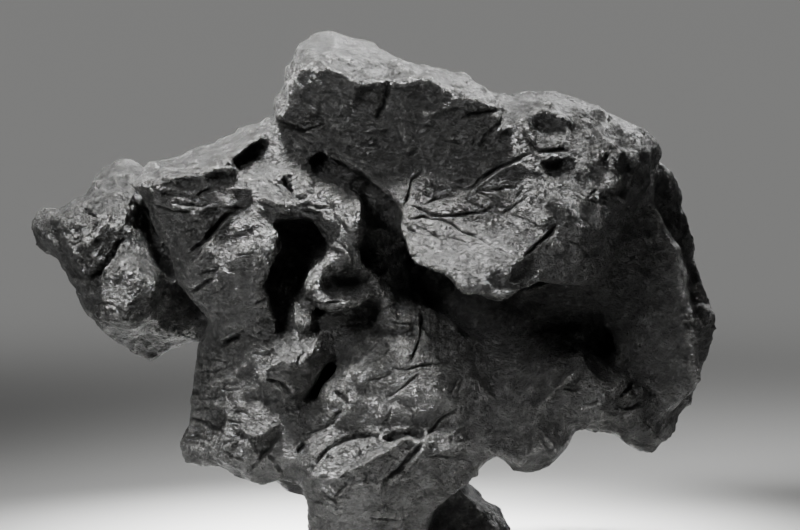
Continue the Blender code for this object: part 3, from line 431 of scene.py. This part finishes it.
    ("crack", 0.67, 1.02, [(-36.5, -63.5), (-31, -62), (-26, -59.5), (-22.5, -57.5)]),
    ("ridge", 0.91, 0.45, [(-29, -55), (-31.5, -58), (-33, -61)]),
    ("crack", 0.62, 0.68, [(-34.5, -88), (-29.5, -89), (-25, -91), (-20, -92)]),
    ("crack", 0.56, 0.59, [(-32.5, -93.5), (-29.5, -95.5), (-25, -96.5)]),
    ("crack", 0.62, 0.68, [(-19.5, -81), (-22, -84), (-25.5, -87.5)]),
    ("ridge", 0.91, 0.52, [(-27, -82), (-24, -86), (-19.5, -84.5)]),
    ("ridge", 0.91, 0.52, [(-33, -83), (-29, -84.5), (-26, -86.5)]),
    ("crack", 0.56, 0.59, [(-35, -84.5), (-31, -85.5), (-26, -88), (-22, -89.5)]),
    ("crack", 0.67, 0.77, [(-13, -94), (-7, -95), (-1, -96), (5, -95)]),
    ("crack", 0.51, 0.42, [(-1, -90.5), (-1.5, -93.5), (-2.5, -97)]),
    ("crack", 0.51, 0.42, [(1.5, -89.5), (1, -93.5), (0, -97)]),
    ("crack", 0.51, 0.42, [(4.5, -89), (3.5, -92.5), (2.5, -96.5)]),
    ("crack", 0.51, 0.42, [(-5, -88), (-6, -92), (-7, -95.5)]),
    ("ridge", 0.91, 0.52, [(-36, -93), (-34.5, -96.5), (-33.5, -100)]),
    ("crack", 0.51, 0.42, [(-16.5, -77.5), (-18, -81.5), (-19.5, -85)]),
    ("crack", 0.51, 0.42, [(-10.5, -76), (-13, -80), (-14, -83.5)]),
    ("crack", 0.51, 0.42, [(-4, -71.5), (-6, -75.5), (-8, -78.5)]),
    ("crack", 0.51, 0.42, [(0, -69.5), (-1.5, -73), (-4, -76)]),
    ("ridge", 1.7, 0.9, [(32.5, -76), (28, -80.5), (22, -83), (16.5, -86.5)]),
    ("groove", 1.3, 0.55, [(29, -74), (25, -78), (19.5, -80.5)]),
    ("crack", 0.56, 0.51, [(11, -77), (15, -80), (17, -83)]),
    ("crack", 0.56, 0.51, [(4.5, -80.5), (8, -83.5), (11, -87.5)]),
    ("ridge", 0.91, 0.45, [(-37, -74), (-34, -77), (-35, -80.5)]),
    # the toe
    ("ridge", 1.7, 1.95, [
        (69.5, -37.5), (66.5, -40), (63, -42.5), (61, -45), (58, -47.5), (55, -51), (52.5, -52.5)]),
    ("groove", 1.5, 0.88, [(67, -37), (63, -40), (60, -43), (56.5, -46)]),
    ("groove", 1.5, 0.66, [(71, -40), (67, -43.5), (64, -47), (60, -50.5)]),
    ("lump", 1.2, 0.84, [(47, -45.5), (51.5, -44.5), (52.5, -47), (49, -47.5)]),
    ("lump", 0.90, 0.72, [(46.5, -51), (49.5, -51), (49.5, -53), (46.5, -53)]),
    ("lump", 1.8, 0.9, [(79.5, -44), (84, -42.5), (86, -44.5), (83, -47), (80, -47)]),
    ("crack", 1, 1.2, [(88, -44.5), (84.5, -47), (82.5, -50)]),
    ("crack", 1, 1.2, [(91.5, -50.5), (87, -53.5), (83, -54)]),
    ("ridge", 1.2, 0.75, [(92, -44.5), (89, -49), (86, -51.5)]),
    ("ridge", 1.2, 1.05, [(90, -51.5), (87.5, -55), (85, -58), (85, -62)]),
    ("lump", 1.2, 1.08, [(74, -54.5), (77, -54), (77, -57.5), (74.5, -58)]),
    ("ridge", 1.4, 1.12, [(72.5, -56), (70, -59), (67.5, -61.5), (66, -64)]),
    ("pit", 1, 0.9, [(78, -57.5), (81, -58), (81.5, -61), (78, -61.5), (76, -59)]),
    ("ridge", 1.2, 0.9, [(70.5, -62), (73, -62), (75, -60.5)]),
    ("ridge", 1.4, 1.35, [(50, -60.5), (53.5, -63.5), (56, -67), (58, -71)]),
    ("ridge", 1.1, 0.98, [(52.5, -65.5), (55, -70), (57.5, -74)]),
    ("groove", 1.1, 0.66, [(52, -63), (54.5, -67), (56.5, -71.5)]),
    ("ridge", 1.1, 0.75, [(61, -56), (62, -59.5), (62, -64)]),
    ("groove", 1.1, 0.55, [(58.5, -53.5), (60, -58), (59, -63.5)]),
    ("pit", 2.7, 2.02, [
        (75, -25.5), (79.5, -24.5), (83, -27.5), (82.5, -33.5), (79.5, -35.5), (76, -32.5)]),
    ("ridge", 1.2, 1.05, [(103.5, -24.5), (106.5, -21), (111.5, -21), (114, -22), (118, -17.5)]),
    ("ridge", 1.1, 0.75, [(104, -19), (106.5, -18.5), (109, -18.5)]),
    ("ridge", 1.1, 0.75, [(106, -24.5), (110.5, -25), (114.5, -23.5)]),
    ("pit", 0.78, 0.63, [(107, -22), (111.5, -22), (111, -24), (107.5, -23.5)]),
    ("lump", 1.2, 0.54, [(85, -14), (88, -14), (88, -16.5), (85, -16)]),
    ("lump", 1.2, 0.54, [(90, -19), (93, -18.5), (94, -21.5), (91, -22)]),
    ("crack", 0.67, 0.77, [(60, -46.5), (64.5, -47), (69, -46)]),
    ("crack", 0.67, 0.77, [(68, -52), (71, -52), (75, -50.5)]),
    ("crack", 0.67, 0.68, [(64, -53.5), (67, -56.5), (66, -59.5)]),
    ("crack", 0.62, 0.68, [(85.5, -65.5), (91, -67), (97, -69)]),
    ("crack", 0.62, 0.59, [(90, -58), (94.5, -61), (97.5, -65.5)]),
    ("ridge", 1.2, 0.68, [(49, -38.5), (52, -36.5), (55.5, -35.5)]),
    ("crack", 0.67, 0.68, [(43.5, -44.5), (46.5, -42.5), (51, -41)]),
    ("ridge", 1.7, 0.75, [(37.5, -70), (42, -73), (46.5, -76)]),
    # the split side lobe
    ("step", 1.4, 1.76, [(-117, -6), (-122, -4), (-125, 1), (-128.5, 7), (-131, 11), (-130, 16)]),
    ("groove", 1.9, 1.1, [(-133, 15.5), (-132, 11), (-129, 5.5), (-126, -0.5)]),
    ("lump", 2.7, 0.96, [
        (-137.5, 16), (-135, 19.5), (-130.5, 21.5), (-130.5, 18.5), (-133.5, 15.5), (-135, 10),
        (-137, 11.5)]),
    ("ridge", 1.1, 0.9, [(-119, 24), (-115.5, 20.5), (-113, 19)]),
    ("crack", 0.67, 0.94, [(-121, 23), (-117, 19.5), (-113, 17.5)]),
    ("crack", 0.67, 0.77, [(-127.5, 19), (-124, 17.5), (-120, 19)]),
    ("lump", 1.2, 0.6, [(-123, 19), (-118.5, 18.5), (-117, 14.5), (-121.5, 14)]),
    ("lump", 1.2, 0.6, [(-128, 14.5), (-124.5, 14), (-124, 10), (-127.5, 9.5)]),
    ("lump", 1.2, 0.54, [(-118, 11), (-114, 10), (-115, 6.5), (-118.5, 6.5)]),
    ("lump", 1.2, 0.54, [(-123, 7), (-119, 5.5), (-120, 2), (-123, 2.5)]),
    ("ridge", 0.99, 0.75, [(-111, 16), (-113, 12.5), (-115.5, 8)]),
    ("crack", 0.67, 0.85, [(-112.5, 17.5), (-115, 13), (-117, 10)]),
    ("crack", 0.62, 0.77, [(-125, 8.5), (-121.5, 8), (-118.5, 9.5)]),
    ("crack", 0.62, 0.77, [(-121, 1), (-118, 2.5), (-115, 1)]),
    ("ridge", 0.99, 0.68, [(-115.5, 2.5), (-113, 5.5), (-111, 9.5)]),
    ("ridge", 0.91, 0.6, [(-121.5, 2.5), (-118.5, -0.5), (-118, -4)]),
    ("crack", 0.62, 0.68, [(-118.5, 5), (-115.5, 2.5), (-116, -1)]),
    ("ridge", 1.2, 0.83, [(-112.5, 26), (-107.5, 25.5), (-102.5, 27)]),
    ("pit", 1.2, 0.59, [(-112, 32.5), (-108, 33.5), (-106.5, 29), (-110, 27.5)]),
    ("pit", 1.2, 0.59, [(-105.5, 34), (-101, 33.5), (-101, 29), (-104.5, 28)]),
    ("ridge", 1.1, 0.75, [(-113, 32.5), (-114, 29), (-113, 25)]),
    ("ridge", 1.1, 0.68, [(-106, 35), (-106, 31), (-106, 27.5)]),
    ("ridge", 1.2, 1.12, [(-100, 27.5), (-102, 22.5), (-101, 16), (-102.5, 10)]),
    ("groove", 1.3, 0.66, [(-106, 24.5), (-105, 19), (-106, 14)]),
    ("ridge", 1.1, 0.68, [(-108, 23.5), (-109, 18.5), (-111, 14)]),
    ("crack", 0.67, 0.77, [(-106, 23), (-103.5, 19), (-104, 14.5)]),
    ("crack", 1.6, 2.4, [(-102, 10.5), (-106, 8), (-107.5, 4.5), (-110, 1), (-112.5, -2.5), (-117.5, -6)]),
    ("ridge", 1.4, 1.27, [(-104, 8), (-106.5, 4), (-109, 0.5), (-111.5, -4.5)]),
    ("crack", 0.56, 0.59, [(-102, 1.5), (-105, -1), (-107, -3.5)]),
    ("ridge", 0.74, 0.38, [(-101, 0.5), (-104, -2), (-106, -4.5)]),
    ("ridge", 0.66, 0.34, [(-98, -2.5), (-100, -7.5), (-103.5, -11), (-104.5, -14.5)]),
    ("crack", 0.45, 0.38, [(-104, -5.5), (-104.5, -9.5), (-105, -14)]),
    ("crack", 0.45, 0.34, [(-95, -5), (-97.5, -8.5), (-100, -12.5)]),
    ("crack", 0.51, 0.42, [(-94.5, 1), (-92, -2.5), (-91.5, -7)]),
    ("pit", 1.2, 0.81, [(-118, -4), (-112.5, -3.5), (-113, -6), (-117, -7)]),
    ("ridge", 1.2, 0.83, [(-122, -9.5), (-118, -11.5), (-114, -9.5)]),
    ("lump", 1.2, 0.72, [(-117, -9), (-113, -8.5), (-113, -11.5), (-116.5, -12)]),
    ("crack", 0.96, 0.98, [(-117, -17.5), (-113, -21), (-109, -24)]),
    ("ridge", 1.1, 0.68, [(-109.5, -16), (-105, -15.5), (-100.5, -17)]),
    ("crack", 0.62, 0.68, [(-114, -14), (-109, -14.5), (-103.5, -17.5)]),
    ("crack", 0.62, 0.68, [(-110, -20.5), (-105, -21.5), (-100.5, -20)]),
    ("ridge", 0.99, 0.6, [(-100.5, -26.5), (-99, -29.5), (-100.5, -32.5)]),
    # the chasm between lobe and slab
    ("step", 0.88, 1.28, [
        (-87, 4), (-89.5, 8), (-92, 12), (-93.5, 17), (-96.5, 21.5), (-98.5, 26), (-101, 31)]),
    ("groove", 1.5, 0.77, [(-100, 26), (-97.5, 20), (-95, 14), (-91, 7)]),
]

# ---- the skin -------------------------------------------------------------------------------


def new_object(name, mesh):
    """Puts a mesh in the scene as an object at the origin."""
    obj = bpy.data.objects.new(name, mesh)
    bpy.context.scene.collection.objects.link(obj)
    return obj


def taken_as_mesh(obj):
    """The object's evaluated mesh. The object itself is removed."""
    graph = bpy.context.evaluated_depsgraph_get()
    mesh = bpy.data.meshes.new_from_object(obj.evaluated_get(graph))
    bpy.data.objects.remove(obj)
    return mesh


def even_skin(node):
    """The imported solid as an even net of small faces, with its facets melted away."""
    bm = bmesh.new()
    bm.from_mesh(node.data)
    bmesh.ops.remove_doubles(bm, verts=bm.verts, dist=1e-6)
    mesh = bpy.data.meshes.new("skin")
    bm.to_mesh(mesh)
    bm.free()
    skin = new_object("skin", mesh)
    net = skin.modifiers.new("net", "REMESH")
    net.mode = "VOXEL"
    net.voxel_size = SKIN_GRID
    return taken_as_mesh(skin)


def melt(bm, passes, chosen=None):
    """Smooths the whole skin, or only the chosen vertices."""
    for _ in range(passes):
        bmesh.ops.smooth_vert(
            bm, verts=chosen or bm.verts, factor=0.5, use_axis_x=True, use_axis_y=True, use_axis_z=True
        )


# ---- what the display side shows --------------------------------------------------------------


def view_axes():
    """The viewpoint's right, up and forward directions."""
    return (
        Vector((1, 0, 0)),
        Vector((0, math.sin(VIEW_DOWN), math.cos(VIEW_DOWN))),
        Vector((0, math.cos(VIEW_DOWN), -math.sin(VIEW_DOWN))),
    )


def drawn(points):
    """Where points land on the drawing: across and up from its middle, in millimetres."""
    right, up, forward = (np.array(axis) for axis in view_axes())
    eye = np.array(VIEW_TARGET) - forward * VIEW_DISTANCE
    ray = points - eye
    scale = VIEW_DISTANCE / (ray @ forward) / MM
    return np.stack(((ray @ right) * scale, (ray @ up) * scale), axis=1)


def seen(bm):
    """Which vertices the viewpoint sees: 1 in full view, 0 turned away or hidden."""
    _, _, forward = view_axes()
    eye = VIEW_TARGET - forward * VIEW_DISTANCE
    tree = bvhtree.BVHTree.FromBMesh(bm)
    shown = np.zeros(len(bm.verts))
    for vert in bm.verts:
        ray = (eye - vert.co).normalized()
        facing = vert.normal.dot(ray)
        if facing > -EDGE_ON:
            start = vert.co + vert.normal * RAY_LIFT * MM + ray * RAY_START * MM
            hit = tree.ray_cast(start, ray)
            if hit[0] is None:
                shown[vert.index] = min(1.0, (facing + EDGE_ON) / (2 * EDGE_ON))
    return shown


def smooth_step(value):
    """Runs from 0 to 1 with soft ends."""
    value = np.clip(value, 0, 1)
    return value * value * (3 - 2 * value)


def along(place, line):
    """For each place on the drawing: its distance from a line, the side it is on, and how far along."""
    line = np.array(line, float)
    steps = line[1:] - line[:-1]
    lengths = np.linalg.norm(steps, axis=1)
    starts = np.concatenate(([0], np.cumsum(lengths)))
    best = np.full(len(place), 1e9)
    side = np.zeros(len(place))
    run = np.zeros(len(place))
    for start, step, length, begun in zip(line[:-1], steps, lengths, starts):
        offset = place - start
        t = np.clip((offset @ step) / (length * length), 0, 1)
        gap = offset - t[:, None] * step
        distance = np.linalg.norm(gap, axis=1)
        closer = distance < best
        best = np.where(closer, distance, best)
        turn = step[0] * offset[:, 1] - step[1] * offset[:, 0]
        side = np.where(closer, np.sign(turn), side)
        run = np.where(closer, begun + t * length, run)
    return best, side, run / starts[-1]


def inside(place, rim):
    """Which places lie inside a closed rim."""
    rim = np.array(rim, float)
    within = np.zeros(len(place), bool)
    for (x0, y0), (x1, y1) in zip(rim, np.roll(rim, -1, axis=0)):
        crosses = (y0 > place[:, 1]) != (y1 > place[:, 1])
        at = (x1 - x0) * (place[:, 1] - y0) / ((y1 - y0) or 1e-9) + x0
        within ^= crosses & (place[:, 0] < at)
    return within


def carve(place, kind, width, height, points):
    """The height in mm that one mark adds at each place on the drawing, and the places it reaches."""
    low, high = np.min(points, axis=0) - 3 * width, np.max(points, axis=0) + 3 * width
    near = np.nonzero(((place > low) & (place < high)).all(axis=1))[0]
    spots = place[near]
    if not len(near):
        return near, np.zeros(0)
    if kind in ("pit", "lump"):
        rim = list(points) + [points[0]]
        gap, _, _ = along(spots, rim)
        depth = np.where(inside(spots, points), gap, -gap)
        rise = smooth_step(depth / width * 0.5 + 0.5) * height
        return near, -rise if kind == "pit" else rise
    gap, side, run = along(spots, points)
    taper = STEP_TAPER if kind == "step" else END_TAPER
    ends = smooth_step(np.minimum(run, 1 - run) / taper)
    if kind == "crack":
        return near, -np.clip(1 - gap / (width * (CRACK_TIP + (1 - CRACK_TIP) * ends)), 0, 1) * height * ends
    if kind == "ridge":
        return near, np.exp(-RIDGE_FALL * gap / width) * height * ends
    if kind == "groove":
        return near, -np.exp(-((gap / width) ** 2)) * height * ends
    if kind == "step":
        # High on the line's left, falling away over `width`; a sharp drop to its right.
        high = np.exp(-((gap / (STEP_BANK * width)) ** 2)) * STEP_RISE
        low = -np.exp(-((gap / width) ** 2)) * STEP_DROP
        edge = smooth_step(side * gap / (STEP_EDGE * width) * 0.5 + 0.5)
        return near, (high * edge + low * (1 - edge)) * height * ends
    raise ValueError(kind)


def roughness(place):
    """How rough the skin is at each place on the drawing: 1 is usual."""
    rough = np.ones(len(place))
    for factor, reach, across, up in PATCHES:
        gap = np.linalg.norm(place - (across, up), axis=1)
        rough += (factor - 1) * smooth_step(PATCH_EDGE - gap / reach)
    return np.clip(rough, *ROUGH_RANGE)


def marks_height(place, shown):
    """The height of all the marks at each vertex, in mm, where the viewpoint sees it."""
    relief = np.zeros(len(place))
    cracks = np.zeros(len(place))
    place = wobbled(place)
    for kind, width, height, points in MARKS:
        near, rise = carve(place, kind, width, height, points)
        if kind == "crack":
            cracks[near] = np.minimum(cracks[near], rise)
        else:
            relief[near] += rise
    return (relief + cracks) * shown


def wobbled(place):
    """Places on the drawing, strayed a little so that no mark runs dead smooth."""
    return place + np.array([
        noise.noise_vector(Vector((x, y, 0)) / WOBBLE_SPACING)[:2] for x, y in place
    ]) * WOBBLE


def near_fine_marks(place):
    """Which places lie on a mark that is too narrow for the skin's faces."""
    place = wobbled(place)
    close = np.zeros(len(place), bool)
    for kind, width, _, points in MARKS:
        if kind in ("crack", "ridge") and width < FINE_MARK:
            reach = width + FINE_MARGIN
            low, high = np.min(points, axis=0) - reach, np.max(points, axis=0) + reach
            near = np.nonzero(((place > low) & (place < high)).all(axis=1))[0]
            if len(near):
                gap, _, _ = along(place[near], points)
                close[near] |= gap < reach
    return close


def crumple(place, spacing, tilt):
    """Crumpled into flat flakes: each leans its own way, and meets the next at a crease. In mm."""
    distances, centres = noise.voronoi(place / spacing)
    leans = []
    for centre in centres[:2]:
        lean = noise.cell_vector(centre * LEAN_KEY) * 2 - Vector((1, 1, 1))
        leans.append((place / spacing - centre).dot(lean) * spacing * tilt)
    own = min(1.0, (distances[1] - distances[0]) / CRUMPLE_SEAM)
    return leans[0] * (0.5 + 0.5 * own) + leans[1] * (0.5 - 0.5 * own)


def texture_height(point, rough):
    """Natural unevenness anywhere on the stone, in mm: swells, crumpled flakes and long wrinkles."""
    place = point / MM
    bent = place + noise.noise_vector(place / BEND_SPACING) * BEND_DEPTH
    height = noise.fractal(place / SWELL_SPACING, 0.8, 2.0, 3) * SWELL_DEPTH
    patch = (0.75 + 0.5 * noise.noise(place / DRIFT_SPACING + Vector((5, 9, 2)))) * rough
    stretched = Vector((bent.x / CRUMPLE_STRETCH, bent.y, bent.z))
    for spacing, tilt in CRUMPLES:
        height += crumple(stretched, spacing, tilt) * patch
    grain = Vector((bent.x / WRINKLE_LENGTH, bent.y / WRINKLE_SPACING, bent.z / WRINKLE_SPACING))
    ridged = noise.ridged_multi_fractal(grain, 0.8, 2.1, 3, 1.0, 2.0) - 1.0
    return height + ridged * WRINKLE_DEPTH * patch


def bulge(point):
    """Slow swells of the sides and the back, in mm."""
    return noise.fractal(point / MM / BULGE_SPACING, 0.9, 2.0, 2) * BULGE_DEPTH


def shown_again(mesh):
    """Which vertices of a finished mesh the viewpoint sees."""
    bm = bmesh.new()
    bm.from_mesh(mesh)
    bm.normal_update()
    bm.verts.index_update()
    shown = seen(bm)
    bm.free()
    return shown


def refine(bm, chosen):
    """Splits the chosen faces in four."""
    edges = {edge for face in chosen for edge in face.edges}
    bmesh.ops.subdivide_edges(bm, edges=list(edges), cuts=1, use_grid_fill=True)
    bm.verts.index_update()
    bm.normal_update()


def coordinates(bm):
    """Every vertex's place, as rows."""
    return np.array([vert.co[:] for vert in bm.verts])


def sculpted(mesh):
    """Melts the skin, splits its faces where it is shown, and lifts it by its marks and texture."""
    bm = bmesh.new()
    bm.from_mesh(mesh)
    melt(bm, MELT_PASSES)
    bm.normal_update()
    shown = seen(bm)
    hidden = [vert for vert in bm.verts if shown[vert.index] < HIDDEN and vert.co.z > 2 * BASE_RIM]
    melt(bm, MELT_BEHIND, hidden)
    refine(bm, [face for face in bm.faces if all(shown[vert.index] > SHOWN for vert in face.verts)])
    shown = seen(bm)
    fine = near_fine_marks(drawn(coordinates(bm))) & (shown > SHOWN)
    refine(bm, [face for face in bm.faces if any(fine[vert.index] for vert in face.verts)])
    shown = seen(bm)
    place = drawn(coordinates(bm))
    rise = marks_height(place, shown)
    rough = np.maximum(roughness(place), ROUGH_BEHIND * (1 - shown))
    lifts = [
        rise[vert.index]
        + texture_height(vert.co, rough[vert.index])
        + bulge(vert.co) * (1 - shown[vert.index])
        for vert in bm.verts
    ]
    for vert, lift in zip(bm.verts, lifts):
        if vert.co.z > BASE_RIM:
            vert.co += vert.normal * lift * MM
            vert.co.z = max(vert.co.z, 0)
        else:
            vert.co.z = 0
    bm.to_mesh(mesh)
    bm.free()


def thinned(mesh):
    """The skin with its flatter stretches merged into larger faces, and most of all behind."""
    skin = new_object("skin", mesh)
    behind = skin.vertex_groups.new(name="behind")
    unseen = [index for index, value in enumerate(shown_again(mesh)) if value < SHOWN]
    behind.add(unseen, 1.0, "REPLACE")
    mesh.calc_loop_triangles()
    whole = len(mesh.loop_triangles)
    coarse = skin.modifiers.new("coarse", "DECIMATE")
    coarse.ratio = 1 - 2 * len(unseen) * THINNED_BEHIND / whole
    coarse.vertex_group = "behind"
    coarse.vertex_group_factor = 1.0
    thin = skin.modifiers.new("thin", "DECIMATE")
    thin.ratio = min(1, MOST_TRIANGLES / (whole * coarse.ratio))
    thin.use_collapse_triangulate = True
    return taken_as_mesh(skin)


def store(mesh, name, values):
    """Keeps one number on each vertex, for the finish to read."""
    layer = mesh.attributes.new(name, "FLOAT", "POINT")
    layer.data.foreach_set("value", values.astype(np.float32))


def cavity_map(mesh):
    """Stores on each vertex how rough it is, and how far it stands proud: 0.5 is level."""
    bm = bmesh.new()
    bm.from_mesh(mesh)
    sharp = coordinates(bm)
    normals = np.array([vert.normal[:] for vert in bm.verts])
    edges = np.array([
        sum(edge.calc_length() for edge in vert.link_edges) / len(vert.link_edges)
        for vert in bm.verts
    ]) / MM
    melt(bm, CAVITY_PASSES)
    proud = ((sharp - coordinates(bm)) * normals).sum(axis=1) / MM
    bm.free()
    proud /= np.maximum(1, edges / FINE_EDGE) ** 1.5
    # The proud value also sets the painted shade in the cracks and the painted highlight on what stands
    # proud.
    store(mesh, "proud", np.clip(0.5 + proud / CAVITY_RANGE, 0, 1))
    store(mesh, "rough", roughness(drawn(sharp)))


# ---- finishes -------------------------------------------------------------------------------


def stone_finish():
    """Black limestone: satin and leathery, with painted shade dark in its cracks, and paler where it stands
    proud, partly rubbed wear and partly painted highlight.
    """
    material = bpy.data.materials.new("black_stone")
    material.use_nodes = True
    tree = material.node_tree
    nodes, links = tree.nodes, tree.links
    shader = nodes["Principled BSDF"]
    coords = nodes.new("ShaderNodeTexCoord")

    def noise_node(scale, detail, rough, distort=0.0, vector=None):
        node = nodes.new("ShaderNodeTexNoise")
        node.inputs["Scale"].default_value = scale
        node.inputs["Detail"].default_value = detail
        node.inputs["Roughness"].default_value = rough
        node.inputs["Distortion"].default_value = distort
        links.new(vector or coords.outputs["Object"], node.inputs["Vector"])
        return node

    def spread(source, low, high, first, last):
        """The source's span from low to high, stretched to run from first to last."""
        node = nodes.new("ShaderNodeMapRange")
        node.inputs["From Min"].default_value = low
        node.inputs["From Max"].default_value = high
        node.inputs["To Min"].default_value = first
        node.inputs["To Max"].default_value = last
        links.new(source, node.inputs["Value"])
        return node.outputs["Result"]

    def vector_math(operation, first, second):
        node = nodes.new("ShaderNodeVectorMath")
        node.operation = operation
        for value, socket in zip((first, second), node.inputs):
            if isinstance(value, tuple):
                socket.default_value = value
            else:
                links.new(value, socket)
        return node.outputs["Value" if operation == "DOT_PRODUCT" else "Vector"]

    def math_node(operation, first, second):
        node = nodes.new("ShaderNodeMath")
        node.operation = operation
        for value, socket in zip((first, second), node.inputs):
            if isinstance(value, float):
                socket.default_value = value
            else:
                links.new(value, socket)
        return node.outputs["Value"]

    def attribute(name):
        node = nodes.new("ShaderNodeAttribute")
        node.attribute_name = name
        return node.outputs["Fac"]

    # Warped coordinates in millimetres, drawn out along the grain.
    wander = vector_math("SUBTRACT", noise_node(110, 3, 0.5).outputs["Color"], (0.5, 0.5, 0.5))
    wander = vector_math("MULTIPLY", wander, (7.0, 7.0, 7.0))
    place = vector_math("MULTIPLY", coords.outputs["Object"], (700.0, 1000.0, 1000.0))
    place = vector_math("ADD", place, wander)

    def flakes(size, tilt):
        """Flat flakes that each lean their own way, in mm."""
        cells = nodes.new("ShaderNodeTexVoronoi")
        cells.feature = "F1"
        cells.inputs["Scale"].default_value = 1 / size
        links.new(place, cells.inputs["Vector"])
        lean = vector_math("SUBTRACT", cells.outputs["Color"], (0.5, 0.5, 0.5))
        offset = vector_math("SUBTRACT", place, cells.outputs["Position"])
        return math_node("MULTIPLY", vector_math("DOT_PRODUCT", offset, lean), tilt)

    creases = noise_node(1.5, 4, 0.6, 0.4, place)
    folded = math_node("ABSOLUTE", math_node("SUBTRACT", creases.outputs["Fac"], 0.5), 0.0)
    grain = noise_node(1.9, 3, 0.65, 0.0, place).outputs["Fac"]

    # Painted shade in the cracks, and painted highlight with some rubbed wear on what stands proud, set by
    # how proud the skin stands.
    shade_and_highlight_ramp = nodes.new("ShaderNodeValToRGB")
    stops = shade_and_highlight_ramp.color_ramp.elements
    stops[0].position, stops[0].color = CRACK_SHADE_AT, PAINTED_CRACK_SHADE_COLOUR
    stops[1].position, stops[1].color = RUBBED_HIGHLIGHT_AT, RUBBED_AND_HIGHLIGHT_COLOUR
    stops.new(0.5).color = STONE_COLOUR
    links.new(attribute("proud"), shade_and_highlight_ramp.inputs["Fac"])
    cloud = spread(noise_node(70, 6, 0.65).outputs["Fac"], 0.3, 0.7, *CLOUD_RANGE)
    # Painted glints and painted shade: the grain that bumps the skin also makes its colour paler on raised
    # specks and darker in the lows.
    painted_glint_fleck = spread(grain, 0.38, 0.62, *GLINT_AND_SHADE_FLECK_RANGE)
    tint = nodes.new("ShaderNodeVectorMath")
    tint.operation = "SCALE"
    links.new(shade_and_highlight_ramp.outputs["Color"], tint.inputs[0])
    links.new(math_node("MULTIPLY", cloud, painted_glint_fleck), tint.inputs["Scale"])
    links.new(tint.outputs["Vector"], shader.inputs["Base Color"])
    polish = spread(noise_node(260, 5, 0.65).outputs["Fac"], 0.3, 0.7, -POLISH_DRIFT, POLISH_DRIFT)
    worn = spread(attribute("proud"), 0.2, 0.8, DULL, RUBBED)
    links.new(math_node("ADD", polish, worn), shader.inputs["Roughness"])

    total = math_node("MULTIPLY", folded, CREASE)
    for size in FLAKE_SIZES:
        total = math_node("ADD", total, flakes(size, FLAKE))
    total = math_node("ADD", total, math_node("MULTIPLY", grain, GRAIN))
    total = math_node("MULTIPLY", total, attribute("rough"))
    bump = nodes.new("ShaderNodeBump")
    bump.inputs["Strength"].default_value = 1.0
    bump.inputs["Distance"].default_value = MM
    links.new(total, bump.inputs["Height"])
    links.new(bump.outputs["Normal"], shader.inputs["Normal"])
    return material


def floor_finish():
    """Pale matt paint."""
    material = bpy.data.materials.new("pale_floor")
    material.use_nodes = True
    shader = material.node_tree.nodes["Principled BSDF"]
    shader.inputs["Base Color"].default_value = FLOOR_COLOUR
    shader.inputs["Roughness"].default_value = 0.9
    return material


# ---- stage ----------------------------------------------------------------------------------


def add_stage():
    """A plain pale floor, wide enough to fill any view."""
    bm = bmesh.new()
    bmesh.ops.create_grid(bm, x_segments=1, y_segments=1, size=FLOOR_REACH)
    mesh = bpy.data.meshes.new("floor")
    bm.to_mesh(mesh)
    bm.free()
    mesh.materials.append(floor_finish())
    new_object("floor", mesh)


def add_softbox(name, place, aim, size, power, spread):
    """A square light at `place`, turned towards `aim`."""
    light = bpy.data.lights.new(name, "AREA")
    light.size = size
    light.energy = power
    light.spread = math.radians(spread)
    lamp = bpy.data.objects.new(name, light)
    bpy.context.scene.collection.objects.link(lamp)
    lamp.location = place
    lamp.rotation_euler = (Vector(aim) - Vector(place)).to_track_quat("-Z", "Y").to_euler()


def add_lights():
    """Soft lights and a faint even glow."""
    for light in LIGHTS:
        add_softbox(*light)
    world = bpy.data.worlds.new("studio")
    world.use_nodes = True
    shade = world.node_tree.nodes["Background"]
    shade.inputs["Color"].default_value = (1, 1, 1, 1)
    shade.inputs["Strength"].default_value = WORLD_STRENGTH
    bpy.context.scene.world = world


def add_camera():
    """Looks from the viewpoint that the marks are drawn from."""
    _, _, forward = view_axes()
    lens = bpy.data.cameras.new("camera")
    lens.sensor_width = SENSOR
    lens.lens = SENSOR * VIEW_DISTANCE / VIEW_WIDTH
    camera = bpy.data.objects.new("camera", lens)
    bpy.context.scene.collection.objects.link(camera)
    camera.location = VIEW_TARGET - forward * VIEW_DISTANCE
    camera.rotation_euler = (math.radians(90) - VIEW_DOWN, 0, 0)
    bpy.context.scene.camera = camera


# ---- the stone ------------------------------------------------------------------------------


def add_stone():
    """The dressed stone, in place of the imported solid."""
    mesh = even_skin(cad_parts["stone"])
    sculpted(mesh)
    mesh = thinned(mesh)
    cavity_map(mesh)
    mesh.name = "weathered_stone"
    mesh.shade_smooth()
    mesh.materials.clear()
    mesh.materials.append(stone_finish())
    stone = new_object("weathered_stone", mesh)
    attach(stone, "root")
    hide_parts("stone")


noise.seed_set(STRAY_SEED)
add_stone()
add_stage()
add_lights()
add_camera()
